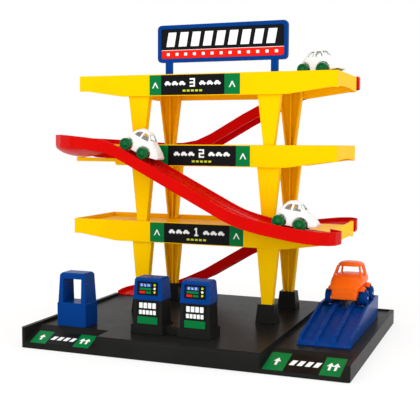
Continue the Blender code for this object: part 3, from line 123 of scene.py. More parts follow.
# Slanted bars of the sign: count, first left edge, width that they leave free, share of the pitch that a
# bar takes, distance above the stripe, height that they leave free, lean
SIGN_BARS, SIGN_FIRST_BAR, SIGN_BAR_SPARE, SIGN_BAR_SHARE = 9, 6.4, 12, 0.66
SIGN_BAR_FOOT, SIGN_BAR_ROOM, SIGN_BAR_LEAN = 4.4, 8.4, 3.0
SIGN_MARKS, SIGN_MARK_MARGIN = 13, 9
SIGN_MARK, SIGN_MARK_LEFT = in_mm(3.4, 3.8, 3.4, 0.6), -1.9  # foot, width, height, corner

PUMP_BODY_LEAN = 1.0 / 28.7  # how far the fronts lean back for each unit of height
PUMP_HEAD_LEAN = 1.6 / 24.8
PUMP_HEAD_RECESS = 1.2
# Label of a pump's body: backing and green field as left, foot, width, height, corner, and the rows of
# blocks as foot, height, count
PUMP_BACKING = in_mm(-13.4, 1.5, 26.8, 26.2, 0.6)
PUMP_GREEN_FIELD = in_mm(-12.4, 1.9, 24.8, 8.2, 0.3)
PUMP_ROWS = ((19.6, 6.2, 4), (12.6, 4.8, 5))
PUMP_ROW_WIDTH, PUMP_BLOCK_CORNER = 21.6, 0.5
# Fields of a pump's display: left, foot, width, height, ink
PUMP_FIELDS = (
    (2.4, 9.4, 14.2, 3.6, BLUE), (2.4, 5.6, 14.2, 2.6, GREEN),
    (2.4, 1.9, 6.6, 2.4, RED), (10.0, 1.9, 6.6, 2.4, GREEN),
)
PUMP_DISPLAY_WIDTH, PUMP_DISPLAY_HEIGHT = 25.4, 15.1
PUMP_DISPLAY_LEVEL = 0.52  # height of the display's middle as a share of the head's height
PUMP_DISPLAY_CORNER, PUMP_FIELD_CORNER = 0.3, 0.4
PUMP_LAMPS, PUMP_LAMP_LEFT, PUMP_LAMP_TOP, PUMP_LAMP_PITCH = (LIME, WHITE, LIME), 19.6, 10.4, 4.0
PUMP_LAMP = in_mm(2.6, 2.6, 1.2)  # width, height, corner
PUMP_NUMBERS, PUMP_NUMBER_LEFT, PUMP_NUMBER_PITCH, PUMP_NUMBER_FOOT = (2, 5, 8), 4.2, 4.2, 10.2
PUMP_NUMBER = in_mm(1.5, 2.0, 0.42)  # width, height, stroke

# Wheel profiles from the inner face to the middle of the hub: share of the radius, share of the width
SMALL_WHEEL = (
    (0.3, 0.0), (0.86, 0.0), (0.95, 0.03), (0.99, 0.1), (1.0, 0.2), (1.0, 0.66), (0.985, 0.78),
    (0.94, 0.87), (0.86, 0.92), (0.78, 0.9), (0.73, 0.83), (0.7, 0.74), (0.62, 0.71), (0.52, 0.75),
    (0.46, 0.83), (0.42, 0.91), (0.34, 0.965), (0.22, 0.99), (0.1, 1.0), (0.03, 1.0),
)
CHUNKY_WHEEL = (
    (0.3, 0.0), (0.84, 0.0), (0.93, 0.03), (0.98, 0.09), (1.0, 0.18), (1.0, 0.72), (0.985, 0.84),
    (0.93, 0.92), (0.84, 0.955), (0.74, 0.93), (0.69, 0.84), (0.66, 0.72), (0.55, 0.69), (0.42, 0.71),
    (0.36, 0.8), (0.33, 0.9), (0.27, 0.95), (0.17, 0.96), (0.15, 0.985), (0.1, 1.0), (0.03, 1.0),
)
SMALL_TYRE, SERVICE_TYRE = 6.6, 10.3  # widths of the wheels
STEEL_BANDS = 3  # how many bands of the large wheel, up to the middle of its hub, are its steel axle's end
WHEEL_PLAY = 0.3  # how much smaller than its node a turned wheel is, to clear the ramp at its joint's limits
WHEEL_STEPS = 48

# The turn of the middle ramp
TURN_CENTRE = (55.5, 194.0)
TURN_OUTER, TURN_INNER, TURN_WALL = 108.0, 60.0, 2.0
TURN_REACH = 0.3  # how near to a place of the turn a corner of the ramp counts as being there
# Sections of the turn, by angle in degrees, and how far the belly has run out into the floor there
TURN_FADES = (1.0, 0.75, 0.4, 0.1, 0.0, 0.0, 0.0, 0.0, 0.0, 0.0, 0.05, 0.2, 0.5, 0.95)
TURN_SECTIONS = tuple(
    (90.0 + 180.0 * (step + 1) / len(TURN_FADES), fade) for step, fade in enumerate(TURN_FADES))
# Section of the belly from the outer wall inwards: share of the way, share of the depth
BELLY = (
    (0.0, 0.0), (0.015, 0.22), (0.08, 0.42), (0.2, 0.66), (0.33, 0.81), (0.45, 0.9), (0.6, 1.0),
    (0.75, 0.97), (0.88, 0.86), (1.0, 0.68),
)
BELLY_LOW, BELLY_OVER_DECK = 216.6, 218.9  # lowest level of the belly, and its lowest over the middle deck
BELLY_DECK_MARGIN, BELLY_DECK_FRONT = 6, 128  # over the deck: from so far left of it, and from so far back
BELLY_INSET, BELLY_WALL = 0.1, 1.2

# Body of the large car. Sections from the rear: forward, half width, lower and upper edge
SERVICE_HULL = (
    (-32.0, 11.0, 11.0, 20.0), (-30.5, 14.0, 8.0, 25.0), (-27.0, 15.0, 6.4, 29.0),
    (-16.0, 15.2, 6.0, 30.0), (16.0, 15.2, 6.0, 30.0), (28.0, 15.2, 6.4, 28.5),
    (36.0, 15.0, 8.6, 24.5), (39.5, 14.4, 10.8, 21.5), (41.0, 12.6, 12.6, 18.5),
)
SERVICE_WAIST = (
    (-30.0, 13.5, 21.4, 27.0), (-28.0, 16.5, 21.0, 31.0), (-23.0, 18.6, 21.0, 34.6),
    (-12.0, 19.6, 21.0, 36.0), (10.0, 19.6, 21.0, 36.4), (19.0, 19.2, 21.0, 35.6),
    (27.0, 18.4, 21.0, 32.6), (34.0, 17.4, 20.6, 28.6), (38.0, 16.4, 20.0, 25.4),
    (40.2, 14.6, 19.6, 23.0),
)
# Roof from below: middle of its length, half length, half width, height
SERVICE_ROOF = (
    (-4.5, 15.4, 14.6, 45.8), (-4.5, 15.6, 14.8, 46.6), (-4.6, 15.0, 14.2, 48.0),
    (-4.8, 13.6, 13.0, 48.9), (-5.0, 10.4, 9.8, 49.8), (-5.0, 5.0, 4.6, 50.0),
)
# Foot and head of each pillar, and the corners of its section round them
SERVICE_PILLARS = (
    ((18.0, 16.6, 34.0), (9.0, 13.2, 46.6)), ((-4.0, 17.8, 34.0), (-4.6, 13.8, 46.6)),
    ((-24.0, 15.4, 32.0), (-18.0, 12.6, 46.6)),
)
PILLAR_CORNERS = ((-1.5, -1.0), (1.5, -1.0), (1.5, 1.0), (-1.5, 1.0))
BUMPER_SECTION = (1.5, 2.0, 11.6, 39.4)  # half depth, half height, level, distance ahead of the car's middle
BUMPER_SPREAD = (-15.5, -14.8, 14.8, 15.5)
# Mudguards: the axles' distance from the middle and their height, first angle and sweep in degrees, and
# the section as radius and distance from the car's middle line
SERVICE_AXLES, AXLE_LEVEL = (-18.0, 18.0), 9.7
ARCH_START, ARCH_SWEEP, ARCH_STEPS = 48, 128, 16
ARCH_SECTION = ((10.9, 15.0), (13.2, 15.0), (13.0, 20.6), (12.4, 22.0), (11.2, 22.4), (10.9, 22.2))

# Studio: metres and degrees, but the sensor in millimetres.
# Lamps: name, place, side of the square, setting that holds the power
LAMPS = (
    ("Key_lamp", (-0.55, -1.25, 1.35), 1.1, "key_power"),
    ("Fill_lamp", (1.35, -0.9, 0.9), 1.2, "fill_power"),
    ("Top_lamp", (0.1, 0.4, 1.6), 1.3, "fill_power"),
    ("Low_lamp", (0.35, -1.7, 0.3), 0.9, "low_power"),
)
LAMP_AIM = Vector((0, 0, 0.12))
FLOOR_SIZE, FLOOR_STEPS, FLOOR_LEVEL = 4.0, 8, -0.0004
SENSOR_WIDTH, CLIP_NEAR, CLIP_FAR = 36.0, 0.01, 50.0
CAMERA_PLACE = spot(531.0, -786.4, 235.4)
CAMERA_TURN, CAMERA_TILT, CAMERA_ROLL = 20.85, 90 - 4.69, 0.33


# Shader building


class Socket:
    """A node's output. Expressions on it add Math nodes."""

    def __init__(self, graph, socket):
        self.graph = graph
        self.socket = socket

    def math(self, operation, *values):
        return self.graph.node("ShaderNodeMath", {"operation": operation}, dict(enumerate(values)))[0]

    def __add__(self, other):
        return self.math("ADD", self, other)

    def __radd__(self, other):
        return self.math("ADD", other, self)

    def __sub__(self, other):
        return self.math("SUBTRACT", self, other)

    def __rsub__(self, other):
        return self.math("SUBTRACT", other, self)

    def __mul__(self, other):
        return self.math("MULTIPLY", self, other)

    def __rmul__(self, other):
        return self.math("MULTIPLY", other, self)

    def larger(self, other):
        return self.math("MAXIMUM", self, other)

    def clipped(self, low, high):
        """This value brought from low..high to 0..1 with soft ends."""
        return self.graph.node(
            "ShaderNodeMapRange", {"interpolation_type": "SMOOTHSTEP"},
            {"Value": self, "From Min": low, "From Max": high})["Result"]


class Outputs:
    """The outputs of one node, by name or number."""

    def __init__(self, graph, node):
        self.graph = graph
        self.node = node

    def __getitem__(self, key):
        return Socket(self.graph, self.node.outputs[key])


class Graph:
    """The node tree of a new material or world."""

    def __init__(self, owner):
        self.owner = owner
        owner.use_nodes = True
        self.tree = owner.node_tree
        self.tree.nodes.clear()

    def node(self, kind, settings=None, inputs=None):
        node = self.tree.nodes.new(kind)
        for key, value in (settings or {}).items():
            setattr(node, key, value)
        for key, value in (inputs or {}).items():
            if isinstance(value, Socket):
                self.tree.links.new(value.socket, node.inputs[key])
            else:
                node.inputs[key].default_value = value
        return Outputs(self, node)

    def place(self):
        """The place on the object that is being shaded."""
        return self.node("ShaderNodeTexCoord")["Object"]

    def stretched(self, place, scale):
        return self.node("ShaderNodeMapping", {}, {"Vector": place, "Scale": scale})["Vector"]

    def mixed(self, share, first, second):
        """A colour between two others."""
        return self.node("ShaderNodeMix", {"data_type": "RGBA"}, {0: share, 6: first, 7: second})[2]

    def noise(self, place, scale, detail=2.0, roughness=0.5):
        return self.node("ShaderNodeTexNoise", {}, {
            "Vector": place, "Scale": scale, "Detail": detail, "Roughness": roughness})["Fac"]

    def relief(self, strength, depth, height, **more):
        """A normal with fine relief. depth is in millimetres."""
        return self.node("ShaderNodeBump", {}, {
            "Strength": strength, "Distance": depth * MM, "Height": height, **more})["Normal"]

    def seen_straight(self):
        """1 for rays from the camera and for reflected or passed ones, 0 for light that falls on things."""
        path = self.node("ShaderNodeLightPath")
        seen = path["Is Camera Ray"].larger(path["Is Glossy Ray"])
        return seen.larger(path["Is Transmission Ray"])

    def surface(self, inputs):
        """A Principled surface."""
        return self.node("ShaderNodeBsdfPrincipled", {}, inputs)["BSDF"]

    def shaded(self, shader):
        self.node("ShaderNodeOutputMaterial", {}, {"Surface": shader})
        return self.owner


def opaque(colour):
    return (*colour, 1.0)


def scaled(colour, factor):
    return (*(min(1.0, part * factor) for part in colour), 1.0)


def moulded_plastic(name, colour, edge, roughness, mottle, paler, sheen, grain=0.35):
    """Injection moulded plastic: flow mottling, fine scuffs, and rounded edges painted a little paler, which
    is a painted highlight with a little wear.
    """
    graph = Graph(bpy.data.materials.new(name))
    place = graph.place()
    soft_edge = graph.node("ShaderNodeBevel", {"samples": 4}, {"Radius": edge})["Normal"]
    face = graph.node("ShaderNodeNewGeometry")["Normal"]
    facing = graph.node(
        "ShaderNodeVectorMath", {"operation": "DOT_PRODUCT"}, {0: face, 1: soft_edge})["Value"]
    clouds = graph.noise(place, 22.0)
    streaks = graph.noise(graph.stretched(place, (1.0, 1.0, 5.0)), 60.0, 3.0)
    scuffs = graph.noise(place, 420.0, 5.0, 0.62).clipped(0.56, 0.74)
    # The rounded edges are painted paler, a painted highlight along them with a little wear, and are made a
    # little rougher
    worn_and_highlit_edges = (1.0 - facing).clipped(0.02, 0.3) * (0.35 + 0.65 * graph.noise(place, 160.0))
    base = graph.mixed(
        clouds.clipped(0.3, 0.7), scaled(colour, 1.0 - mottle), scaled(colour, 1.0 + mottle))
    base = graph.mixed(worn_and_highlit_edges * 0.5, base, scaled([part + 0.02 for part in colour], paler))
    gloss = roughness + (streaks - 0.5) * 0.1 + scuffs * 0.07 + worn_and_highlit_edges * 0.1
    skin = graph.noise(place, 900.0) + 0.3 * graph.noise(place, 2600.0)
    return graph.shaded(graph.surface({
        "Base Color": base, "Roughness": gloss, "IOR": PLASTIC_IOR, "Specular IOR Level": sheen,
        "Normal": graph.relief(grain, PLASTIC_GRAIN_DEPTH, skin, Normal=soft_edge)}))


def drawn_steel(name, colour):
    """Axle wire with fine lengthwise drawing lines."""
    graph = Graph(bpy.data.materials.new(name))
    lines = graph.noise(graph.stretched(graph.place(), (1.0, 0.05, 1.0)), 2400.0, 3.0)
    return graph.shaded(graph.surface({
        "Base Color": graph.mixed(lines, scaled(colour, 0.85), opaque(colour)), "Metallic": 1.0,
        "Roughness": 0.22 + lines * 0.2, "Normal": graph.relief(0.3, STEEL_LINE_DEPTH, lines)}))


def printed_film(name, colour):
    """Printed label film: even ink with a trace of screen grain."""
    graph = Graph(bpy.data.materials.new(name))
    place = graph.place()
    ink = graph.noise(place, 700.0, 3.0)
    waves = graph.noise(place, 45.0)
    return graph.shaded(graph.surface({
        "Base Color": graph.mixed(ink, scaled(colour, 0.94), scaled(colour, 1.05)),
        "Roughness": FILM_ROUGHNESS + (waves - 0.5) * 0.12, "Specular IOR Level": FILM_SHEEN,
        "Normal": graph.relief(0.25, FILM_WAVE_DEPTH, waves)}))


def studio_floor(name, colour, glow):
    """Pale paper that keeps the shadow near the toy and is seen plain white farther off."""
    graph = Graph(bpy.data.materials.new(name))
    place = graph.place()
    tone = graph.noise(place, 3.0)
    away = graph.node("ShaderNodeVectorMath", {"operation": "LENGTH"}, {0: place})["Value"]
    share = glow + (1.0 - glow) * away.clipped(0.3, 0.75)
    paper = graph.surface({
        "Base Color": graph.mixed(tone, scaled(colour, 0.995), opaque(colour)),
        "Roughness": 0.9, "Specular IOR Level": 0.0})
    white = graph.node("ShaderNodeEmission", {}, {"Color": opaque((1.0, 1.0, 1.0)), "Strength": 1.0})
    return graph.shaded(graph.node("ShaderNodeMixShader", {}, {
        "Fac": share * graph.seen_straight(), 1: paper, 2: white["Emission"]})[0])


# Mesh building

SECTION_STEPS, CORNER_STEPS, TYRE_MARK_STEPS = 28, 4, 10
SQUARENESS = 3.4  # of a rounded section: 2 gives an ellipse, more a squarer one
FLAT_SIDES = 6  # a loft whose rings have more corners than this is shaded smooth


def turns(count):
    """Evenly spaced angles of one full turn."""
    return [math.tau * i / count for i in range(count)]


def add_object(name, data):
    thing = bpy.data.objects.new(name, data)
    bpy.context.scene.collection.objects.link(thing)
    return thing


def new_piece(name, bm, materials, body=STATION):
    mesh = bpy.data.meshes.new(name)
    bmesh.ops.recalc_face_normals(bm, faces=bm.faces)
    bm.to_mesh(mesh)
    bm.free()
    piece = add_object(name, mesh)
    for material in materials:
        mesh.materials.append(material)
    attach(piece, body)
    return piece


def add_band(bm, ring, following):
    """The faces that join two rings of corners."""
    nexts = [(i, (i + 1) % len(ring)) for i in range(len(ring))]
    return [bm.faces.new((ring[i], ring[j], following[j], following[i])) for i, j in nexts]


def add_slab(bm, outline, low, high, place, material):
    """A flat figure with thickness. place turns (across, up, out) into a point of the row frame."""
    rings = [[bm.verts.new(place(u, v, depth)) for u, v in outline] for depth in (low, high)]
    ends = [bm.faces.new(ring) for ring in rings]
    for face in ends + add_band(bm, *rings):
        face.material_index = material


def add_loft(bm, rings, tip_bands=0):
    """A closed solid through rings of points. Its last bands and its end can have the second material."""
    rings = [[bm.verts.new(point) for point in ring] for ring in rings]
    for row, (ring, following) in enumerate(zip(rings, rings[1:])):
        for face in add_band(bm, ring, following):
            face.smooth = len(ring) > FLAT_SIDES
            face.material_index = int(row >= len(rings) - 1 - tip_bands)
    bm.faces.new(rings[0])
    bm.faces.new(rings[-1]).material_index = int(tip_bands > 0)


def rounded_section(wide, tall, level, centre=0.0):
    """Outline of a block with full round corners, from its half sizes and its middle."""
    points = []
    for turn in turns(SECTION_STEPS):
        c, s = math.cos(turn), math.sin(turn)
        points.append((
            centre + math.copysign(abs(c) ** (2 / SQUARENESS), c) * wide,
            level + math.copysign(abs(s) ** (2 / SQUARENESS), s) * tall))
    return points


def slanted(left, low, width, height, lean):
    """Outline of an oblong that leans to the right."""
    return [
        (left, low), (left + width, low), (left + width + lean, low + height), (left + lean, low + height),
    ]


def oblong(left, low, width, height, corner=0.0):
    """Outline of an oblong, whose corners can be round."""
    if corner <= 0:
        return slanted(left, low, width, height, 0.0)
    points = []
    for x, y, start in (
        (left + width - corner, low + height - corner, 0), (left + corner, low + height - corner, 90),
        (left + corner, low + corner, 180), (left + width - corner, low + corner, 270),
    ):
        for i in range(CORNER_STEPS + 1):
            angle = math.radians(start + 90 * i / CORNER_STEPS)
            points.append((x + corner * math.cos(angle), y + corner * math.sin(angle)))
    return points


def chevron(x, y, width, height, stroke):
    """An arrow head that points up, as a bent stroke."""
    half = width / 2
    return [
        (x - half, y - height / 2), (x - half + stroke * 0.75, y - height / 2),
        (x, y + height / 2 - stroke * 1.15), (x + half - stroke * 0.75, y - height / 2),
        (x + half, y - height / 2), (x + stroke * 0.28, y + height / 2),
        (x - stroke * 0.28, y + height / 2),
    ]


def way_arrow(x, y, width, height):
    """A road arrow with a short shaft."""
    half, shaft = width / 2, width * 0.17
    neck = y + height * 0.02
    return [
        (x - shaft, y - height / 2), (x + shaft, y - height / 2), (x + shaft, neck), (x + half, neck),
        (x, y + height / 2), (x - half, neck), (x - shaft, neck),
    ]


def car_mark(x, low, width):
    """A little car seen from the side: body with cabin, and two wheels. It's half as tall as it is long."""
    unit = width / 8
    axle, radius = 2.2, 1.05
    body = ((-4, 1), (4, 1), (4, 2.7), (2.5, 3.2), (1.2, 5), (-2, 5), (-3.2, 3.2), (-4, 2.9))
    outlines = [body] + [
        [(side + radius * math.cos(turn), radius + radius * math.sin(turn))
         for turn in turns(TYRE_MARK_STEPS)]
        for side in (-axle, axle)
    ]
    return [
        ([(x + across * unit, low + up * unit) for across, up in outline], WHITE) for outline in outlines
    ]


# Strokes of a digit, as its left, lower, right and upper end in shares of its size
SEGMENTS = {
    "top": (0, 1, 1, 1), "middle": (0, 0.5, 1, 0.5), "bottom": (0, 0, 1, 0), "left high": (0, 0.5, 0, 1),
    "left low": (0, 0, 0, 0.5), "right high": (1, 0.5, 1, 1), "right low": (1, 0, 1, 0.5),
}
DIGITS = {
    2: ("top", "right high", "middle", "left low", "bottom"),
    3: ("top", "right high", "middle", "right low", "bottom"),
    5: ("top", "left high", "middle", "right low", "bottom"),
    8: tuple(SEGMENTS),
}


def digit(number, x, y, width, height, stroke):
    """The strokes of a plain digit, as outlines."""
    if number == 1:
        middle = x + width / 2
        return [
            oblong(middle - stroke / 2, y - stroke / 2, stroke, height + stroke),
            slanted(middle - stroke * 1.5, y + height - stroke * 0.9, stroke * 1.2, stroke, stroke * 0.5),
            oblong(x, y - stroke / 2, width, stroke),
        ]
    return [
        oblong(
            x + x0 * width - stroke / 2, y + y0 * height - stroke / 2,
            (x1 - x0) * width + stroke, (y1 - y0) * height + stroke)
        for x0, y0, x1, y1 in (SEGMENTS[name] for name in DIGITS[number])
    ]


def label(name, backing, prints, place):
    """A label: backing figures, then printed figures a hair above them. Both are lists of (outline, ink)."""
    bm = bmesh.new()
    for outline, ink in backing:
        add_slab(bm, outline, FILM_GAP, FILM, place, ink)
    for layer, (outline, ink) in enumerate(prints):
        add_slab(bm, outline, FILM - INK_BITE, FILM + INK + INK_STEP * (layer % INK_LEVELS), place, ink)
    return new_piece(name, bm, films())


def three_fields(width, first_edge, second_edge, low, tall):
    """Backing of a label with a black field between two green ones."""
    return [
        (oblong(0, low, first_edge, tall), GREEN),
        (oblong(first_edge, low, second_edge - first_edge, tall), BLACK),
        (oblong(second_edge, low, width - second_edge, tall), GREEN),
    ]


def front_place(x, y, z):
    """Places a label on an upright front face, from its lower left corner in base millimetres."""
    corner = spot(x, y, z)
    return lambda u, v, out: (corner.x + u, corner.y - out, corner.z + v)


def tilted_place(start, along):
    """Places a label on a face that leans back, from a point on it and its direction upwards."""
    along = along.normalized()
    normal = Vector((0.0, -along.z, along.y))
    return lambda u, v, out: start + Vector((u, 0, 0)) + along * v + normal * out


def leaning_place(low, high, lean, recess):
    """Places a label on the leaning front of a pump, from the middle of its lower edge."""
    return tilted_place(Vector(((low.x + high.x) / 2, low.y + recess, low.z)), Vector((0.0, lean, 1.0)))


def slope_place(x, y0, z0, y1, z1):
    """Places a label on a slope that rises from (y0, z0) to (y1, z1)."""
    return tilted_place(spot(x, y0, z0), Vector((0.0, y1 - y0, z1 - z0)))


def turn_spot(angle, radius):
    """The point of the turn at an angle in degrees and a radius in millimetres, at ground height."""
    way = math.radians(angle)
    return spot(TURN_CENTRE[0] + radius * math.cos(way), TURN_CENTRE[1] + radius * math.sin(way), 0.0)


def turn_levels(angle, radius):
    """The heights of the middle ramp's corners at one place of the turn, from the lowest up."""
    foot = turn_spot(angle, radius)
    corners = (corner.co for corner in frame["nodes"]["Ramp_middle"].data.vertices)
    return sorted({
        round(corner.z, 5) for corner in corners if (corner.xy - foot.xy).length < TURN_REACH * MM})


# Settings that a user would change


def colour_property(name, description, default):
    return bpy.props.FloatVectorProperty(
        name=name, description=description, default=default, size=3, subtype="COLOR", min=0.0, max=1.0)


def length_property(name, description, default):
    return bpy.props.FloatProperty(
        name=name, description=description, default=default, min=0.0, unit="LENGTH", subtype="DISTANCE")


def power_property(name, description, default):
    return bpy.props.FloatProperty(name=name, description=description, default=default, unit="POWER")


class PlasticSettings(bpy.types.PropertyGroup):
    yellow: colour_property("Yellow", "Decks and posts", (1.0, 0.58, 0.0))
    red: colour_property("Red", "Car ramps", (0.62, 0.003, 0.002))
    blue: colour_property("Blue", "Sign frame, booth, pump heads and service ramp", (0.0, 0.04, 0.22))
    black: colour_property("Black", "Base, sockets, island and pump bodies", (0.014, 0.014, 0.013))
    white: colour_property("White", "Small cars", (0.86, 0.86, 0.84))
    orange: colour_property("Orange", "Large car", (1.0, 0.14, 0.006))
    green: colour_property("Green", "Wheels of the small cars", (0.0, 0.12, 0.025))
    steel: colour_property("Steel", "Axles", (0.6, 0.6, 0.62))
    edge_radius: length_property("Edge radius", "Roundness that the mould gives to every edge", 0.45 * MM)


class LabelSettings(bpy.types.PropertyGroup):
    green: colour_property("Green", "Arrow fields", (0.0, 0.18, 0.04))
    black: colour_property("Black", "Middle fields", (0.006, 0.006, 0.007))
    white: colour_property("White", "Arrows and figures", (0.88, 0.9, 0.88))
    lime: colour_property("Lime", "Small marks below the figures", (0.55, 0.62, 0.03))
    red: colour_property("Red", "Lower stripe of the sign", (0.85, 0.012, 0.004))
    blue: colour_property("Blue", "Readouts of the pumps", (0.02, 0.1, 0.42))
    height: length_property("Height", "Height of the labels on the decks", 24.4 * MM)


class StudioSettings(bpy.types.PropertyGroup):
    floor: colour_property("Floor", "Colour of the floor", (0.97, 0.97, 0.97))
    glow: bpy.props.FloatProperty(
        name="White share", description="How far the floor near the toy is seen plain white", default=0.72,
        min=0.0, max=1.0, subtype="FACTOR")
    key_power: power_property("Key light", "Power of the main lamp", 5.2)
    fill_power: power_property("Fill light", "Power of each of the two weak lamps", 3.0)
    low_power: power_property("Low light", "Power of the lamp that reaches in below the decks", 4.0)
    world: bpy.props.FloatProperty(name="World", description="Strength of the surroundings", default=0.96)
    lens: bpy.props.FloatProperty(
        name="Focal length", description="Lens of the camera", default=70.05, unit="CAMERA", min=1.0)


def plastic_settings():
    return bpy.context.scene.station_plastics


def label_settings():
    return bpy.context.scene.station_labels


def plastic(slot):
    """The moulded plastic of a record slot, made once."""
    tone = slot.removesuffix("_plastic")
    title = tone.capitalize() + " moulded plastic"
    if title not in bpy.data.materials:
        look = {"edge": plastic_settings().edge_radius, **PLASTIC_LOOKS[slot]}
        moulded_plastic(title, getattr(plastic_settings(), tone), **look)
    return bpy.data.materials[title]


def film(ink):
    """The label film of one ink, made once."""
    title = ink.capitalize() + " label film"
    if title not in bpy.data.materials:
        printed_film(title, getattr(label_settings(), ink))
    return bpy.data.materials[title]


def films():
    return [film(ink) for ink in INKS]


def finish_nodes(names, material):
    for name in names:
        mesh = frame["nodes"][name].data
        mesh.materials.clear()
        mesh.materials.append(material)


def nodes_that_start(*starts):
    return [name for name in frame["nodes"] if name.startswith(starts)]


# Operators


class STATION_OT_base(bpy.types.Operator):
    """Finish the base tray and the post sockets, and put the labels on the two slopes"""

    bl_idname = "station.base"
    bl_label = "Base"

    def execute(self, context):
        finish_nodes(nodes_that_start("Base_", "Post_socket_"), plastic("black_plastic"))
        for name, left, right, field, slope, low, high in SLOPE_LABELS:
            width, field, low, tall = (right - left) * MM, field * MM, low * MM, (high - low) * MM
            prints = []
            for middle, count in ((field / 2, 1), (width - field / 2, 2)):
                for i in range(count):
                    x = middle + (i - (count - 1) / 2) * SLOPE_ARROW_PITCH * MM
                    prints.append(
                        (way_arrow(x, low + tall * 0.5, SLOPE_ARROW_WIDTH * MM, tall * 0.42), WHITE))
            dash = (width - 2 * field) / SLOPE_DASH_ROOM
            for i in range(SLOPE_DASHES):
                x = field + dash * (0.45 + 1.5 * i)
                prints.append(
                    (slanted(x, low + tall * 0.36, dash * 0.95, tall * 0.28, SLOPE_DASH_LEAN * MM), WHITE))
            backing = three_fields(width, field, width - field, low, tall)
            label(name, backing, prints, slope_place(left, *slope))
        return {"FINISHED"}


class STATION_OT_decks(bpy.types.Operator):
    """Finish the decks and posts, and put a label on the front of each deck"""

    bl_idname = "station.decks"
    bl_label = "Decks and posts"

    def execute(self, context):
        finish_nodes(nodes_that_start("Deck_", "Post_1", "Post_2", "Post_3"), plastic("yellow_plastic"))
        tall = label_settings().height
        for level, (left, left_field, right_field, right) in enumerate(DECK_LABELS, 1):
            low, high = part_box(f"Deck_{level}")
            front = (low.y - CORNER.y) / MM
            top = (high.z - CORNER.z) / MM - DECK_LABEL_DROP
            place = front_place(left, front, top - tall / MM)
            a, b, end = (left_field - left) * MM, (right_field - left) * MM, (right - left) * MM
            backing = three_fields(end, a, b, 0, tall)
            prints = [(chevron(x, tall * 0.49, *DECK_CHEVRON), WHITE) for x in (a / 2, (b + end) / 2)]
            middle = (a + b) / 2
            for shape in digit(level, middle + DECK_DIGIT_LEFT * MM, *DECK_DIGIT):
                prints.append((shape, WHITE))
            for way in (-1, 1):
                for i in range(DECK_CARS):
                    x = middle + way * (DECK_FIRST_CAR + DECK_CAR_PITCH * i) * MM
                    prints += car_mark(x, *DECK_CAR)
            for i in range(DECK_MARKS):
                x = middle + (i * DECK_MARK_PITCH - DECK_FIRST_MARK) * MM
                prints.append((oblong(x, *DECK_MARK), LIME))
            label(f"Deck_{level}_label", backing, prints, place)
        return {"FINISHED"}


class STATION_OT_ramps(bpy.types.Operator):
    """Finish the three car ramps, and put the round belly under the turn of the middle one"""

    bl_idname = "station.ramps"
    bl_label = "Ramps"

    def execute(self, context):
        finish_nodes(nodes_that_start("Ramp_"), plastic("red_plastic"))
        self.turn_underside()
        return {"FINISHED"}

    def turn_underside(self):
        """The round belly below the floor of the half-circle turn, from its outer wall to its inner wall."""
        deck_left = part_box("Deck_2")[0].x - BELLY_DECK_MARGIN * MM
        deck_front = CORNER.y + BELLY_DECK_FRONT * MM
        rings = []
        for angle, fade in TURN_SECTIONS:
            wall = turn_levels(angle, TURN_OUTER)[0]
            under_out = turn_levels(angle, TURN_OUTER - TURN_WALL)[1]
            under_in = turn_levels(angle, TURN_INNER)[1]
            lower = []
            for share, drop in BELLY:
                radius = TURN_OUTER - BELLY_INSET - share * (TURN_OUTER - TURN_INNER)
                foot = turn_spot(angle, radius)
                belly = wall - (wall - BELLY_LOW * MM) * drop
                floor = under_out + (under_in - under_out) * share
                level = belly + (floor - belly) * fade
                if foot.x > deck_left and foot.y > deck_front:
                    level = max(level, BELLY_OVER_DECK * MM)
                lower.append(Vector((foot.x, foot.y, level)))
            upper = [point + Vector((0.0, 0.0, BELLY_WALL * MM)) for point in reversed(lower)]
            rings.append(lower + upper)
        bm = bmesh.new()
        add_loft(bm, rings)
        new_piece("Turn_underside", bm, [plastic("red_plastic")])


class STATION_OT_sign(bpy.types.Operator):
    """Finish the sign board and put a generic striped panel on both of its sides"""

    bl_idname = "station.sign"
    bl_label = "Sign board"

    def execute(self, context):
        finish_nodes(["Sign_board"], plastic("blue_plastic"))
        low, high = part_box("Sign_board")
        inside = SIGN_FRAME + SIGN_PLAY
        left, right, bottom = SIGN_LEFT + inside, SIGN_RIGHT - inside, SIGN_BOTTOM + inside
        width, tall = (right - left) * MM, (SIGN_TALL - 2 * inside) * MM
        stripe, line, recess = SIGN_STRIPE * MM, SIGN_LINE * MM, SIGN_RECESS * MM
        backing = [
            (oblong(0, stripe + line, width, tall - stripe - line), BLACK),
            (oblong(0, 0, width, stripe), RED), (oblong(0, stripe, width, line), WHITE),
        ]
        prints = []
        pitch = (width - SIGN_BAR_SPARE * MM) / SIGN_BARS
        foot, bar_tall = stripe + SIGN_BAR_FOOT * MM, tall - stripe - SIGN_BAR_ROOM * MM
        for i in range(SIGN_BARS):
            x = SIGN_FIRST_BAR * MM + pitch * i
            prints.append((slanted(x, foot, pitch * SIGN_BAR_SHARE, bar_tall, SIGN_BAR_LEAN * MM), WHITE))
        for i in range(SIGN_MARKS):
            x = SIGN_MARK_MARGIN * MM + (width - 2 * SIGN_MARK_MARGIN * MM) * i / (SIGN_MARKS - 1)
            prints.append((oblong(x + SIGN_MARK_LEFT * MM, *SIGN_MARK), WHITE))
        for name, face, way, edge in (
            ("Sign_panel_front", low.y + recess, -1, left), ("Sign_panel_back", high.y - recess, 1, right),
        ):
            start = spot(edge, 0, bottom)

            def place(u, v, out, start=start, face=face, way=way):
                return (start.x - way * u, face + way * out, start.z + v)

            label(name, backing, prints, place)
        return {"FINISHED"}


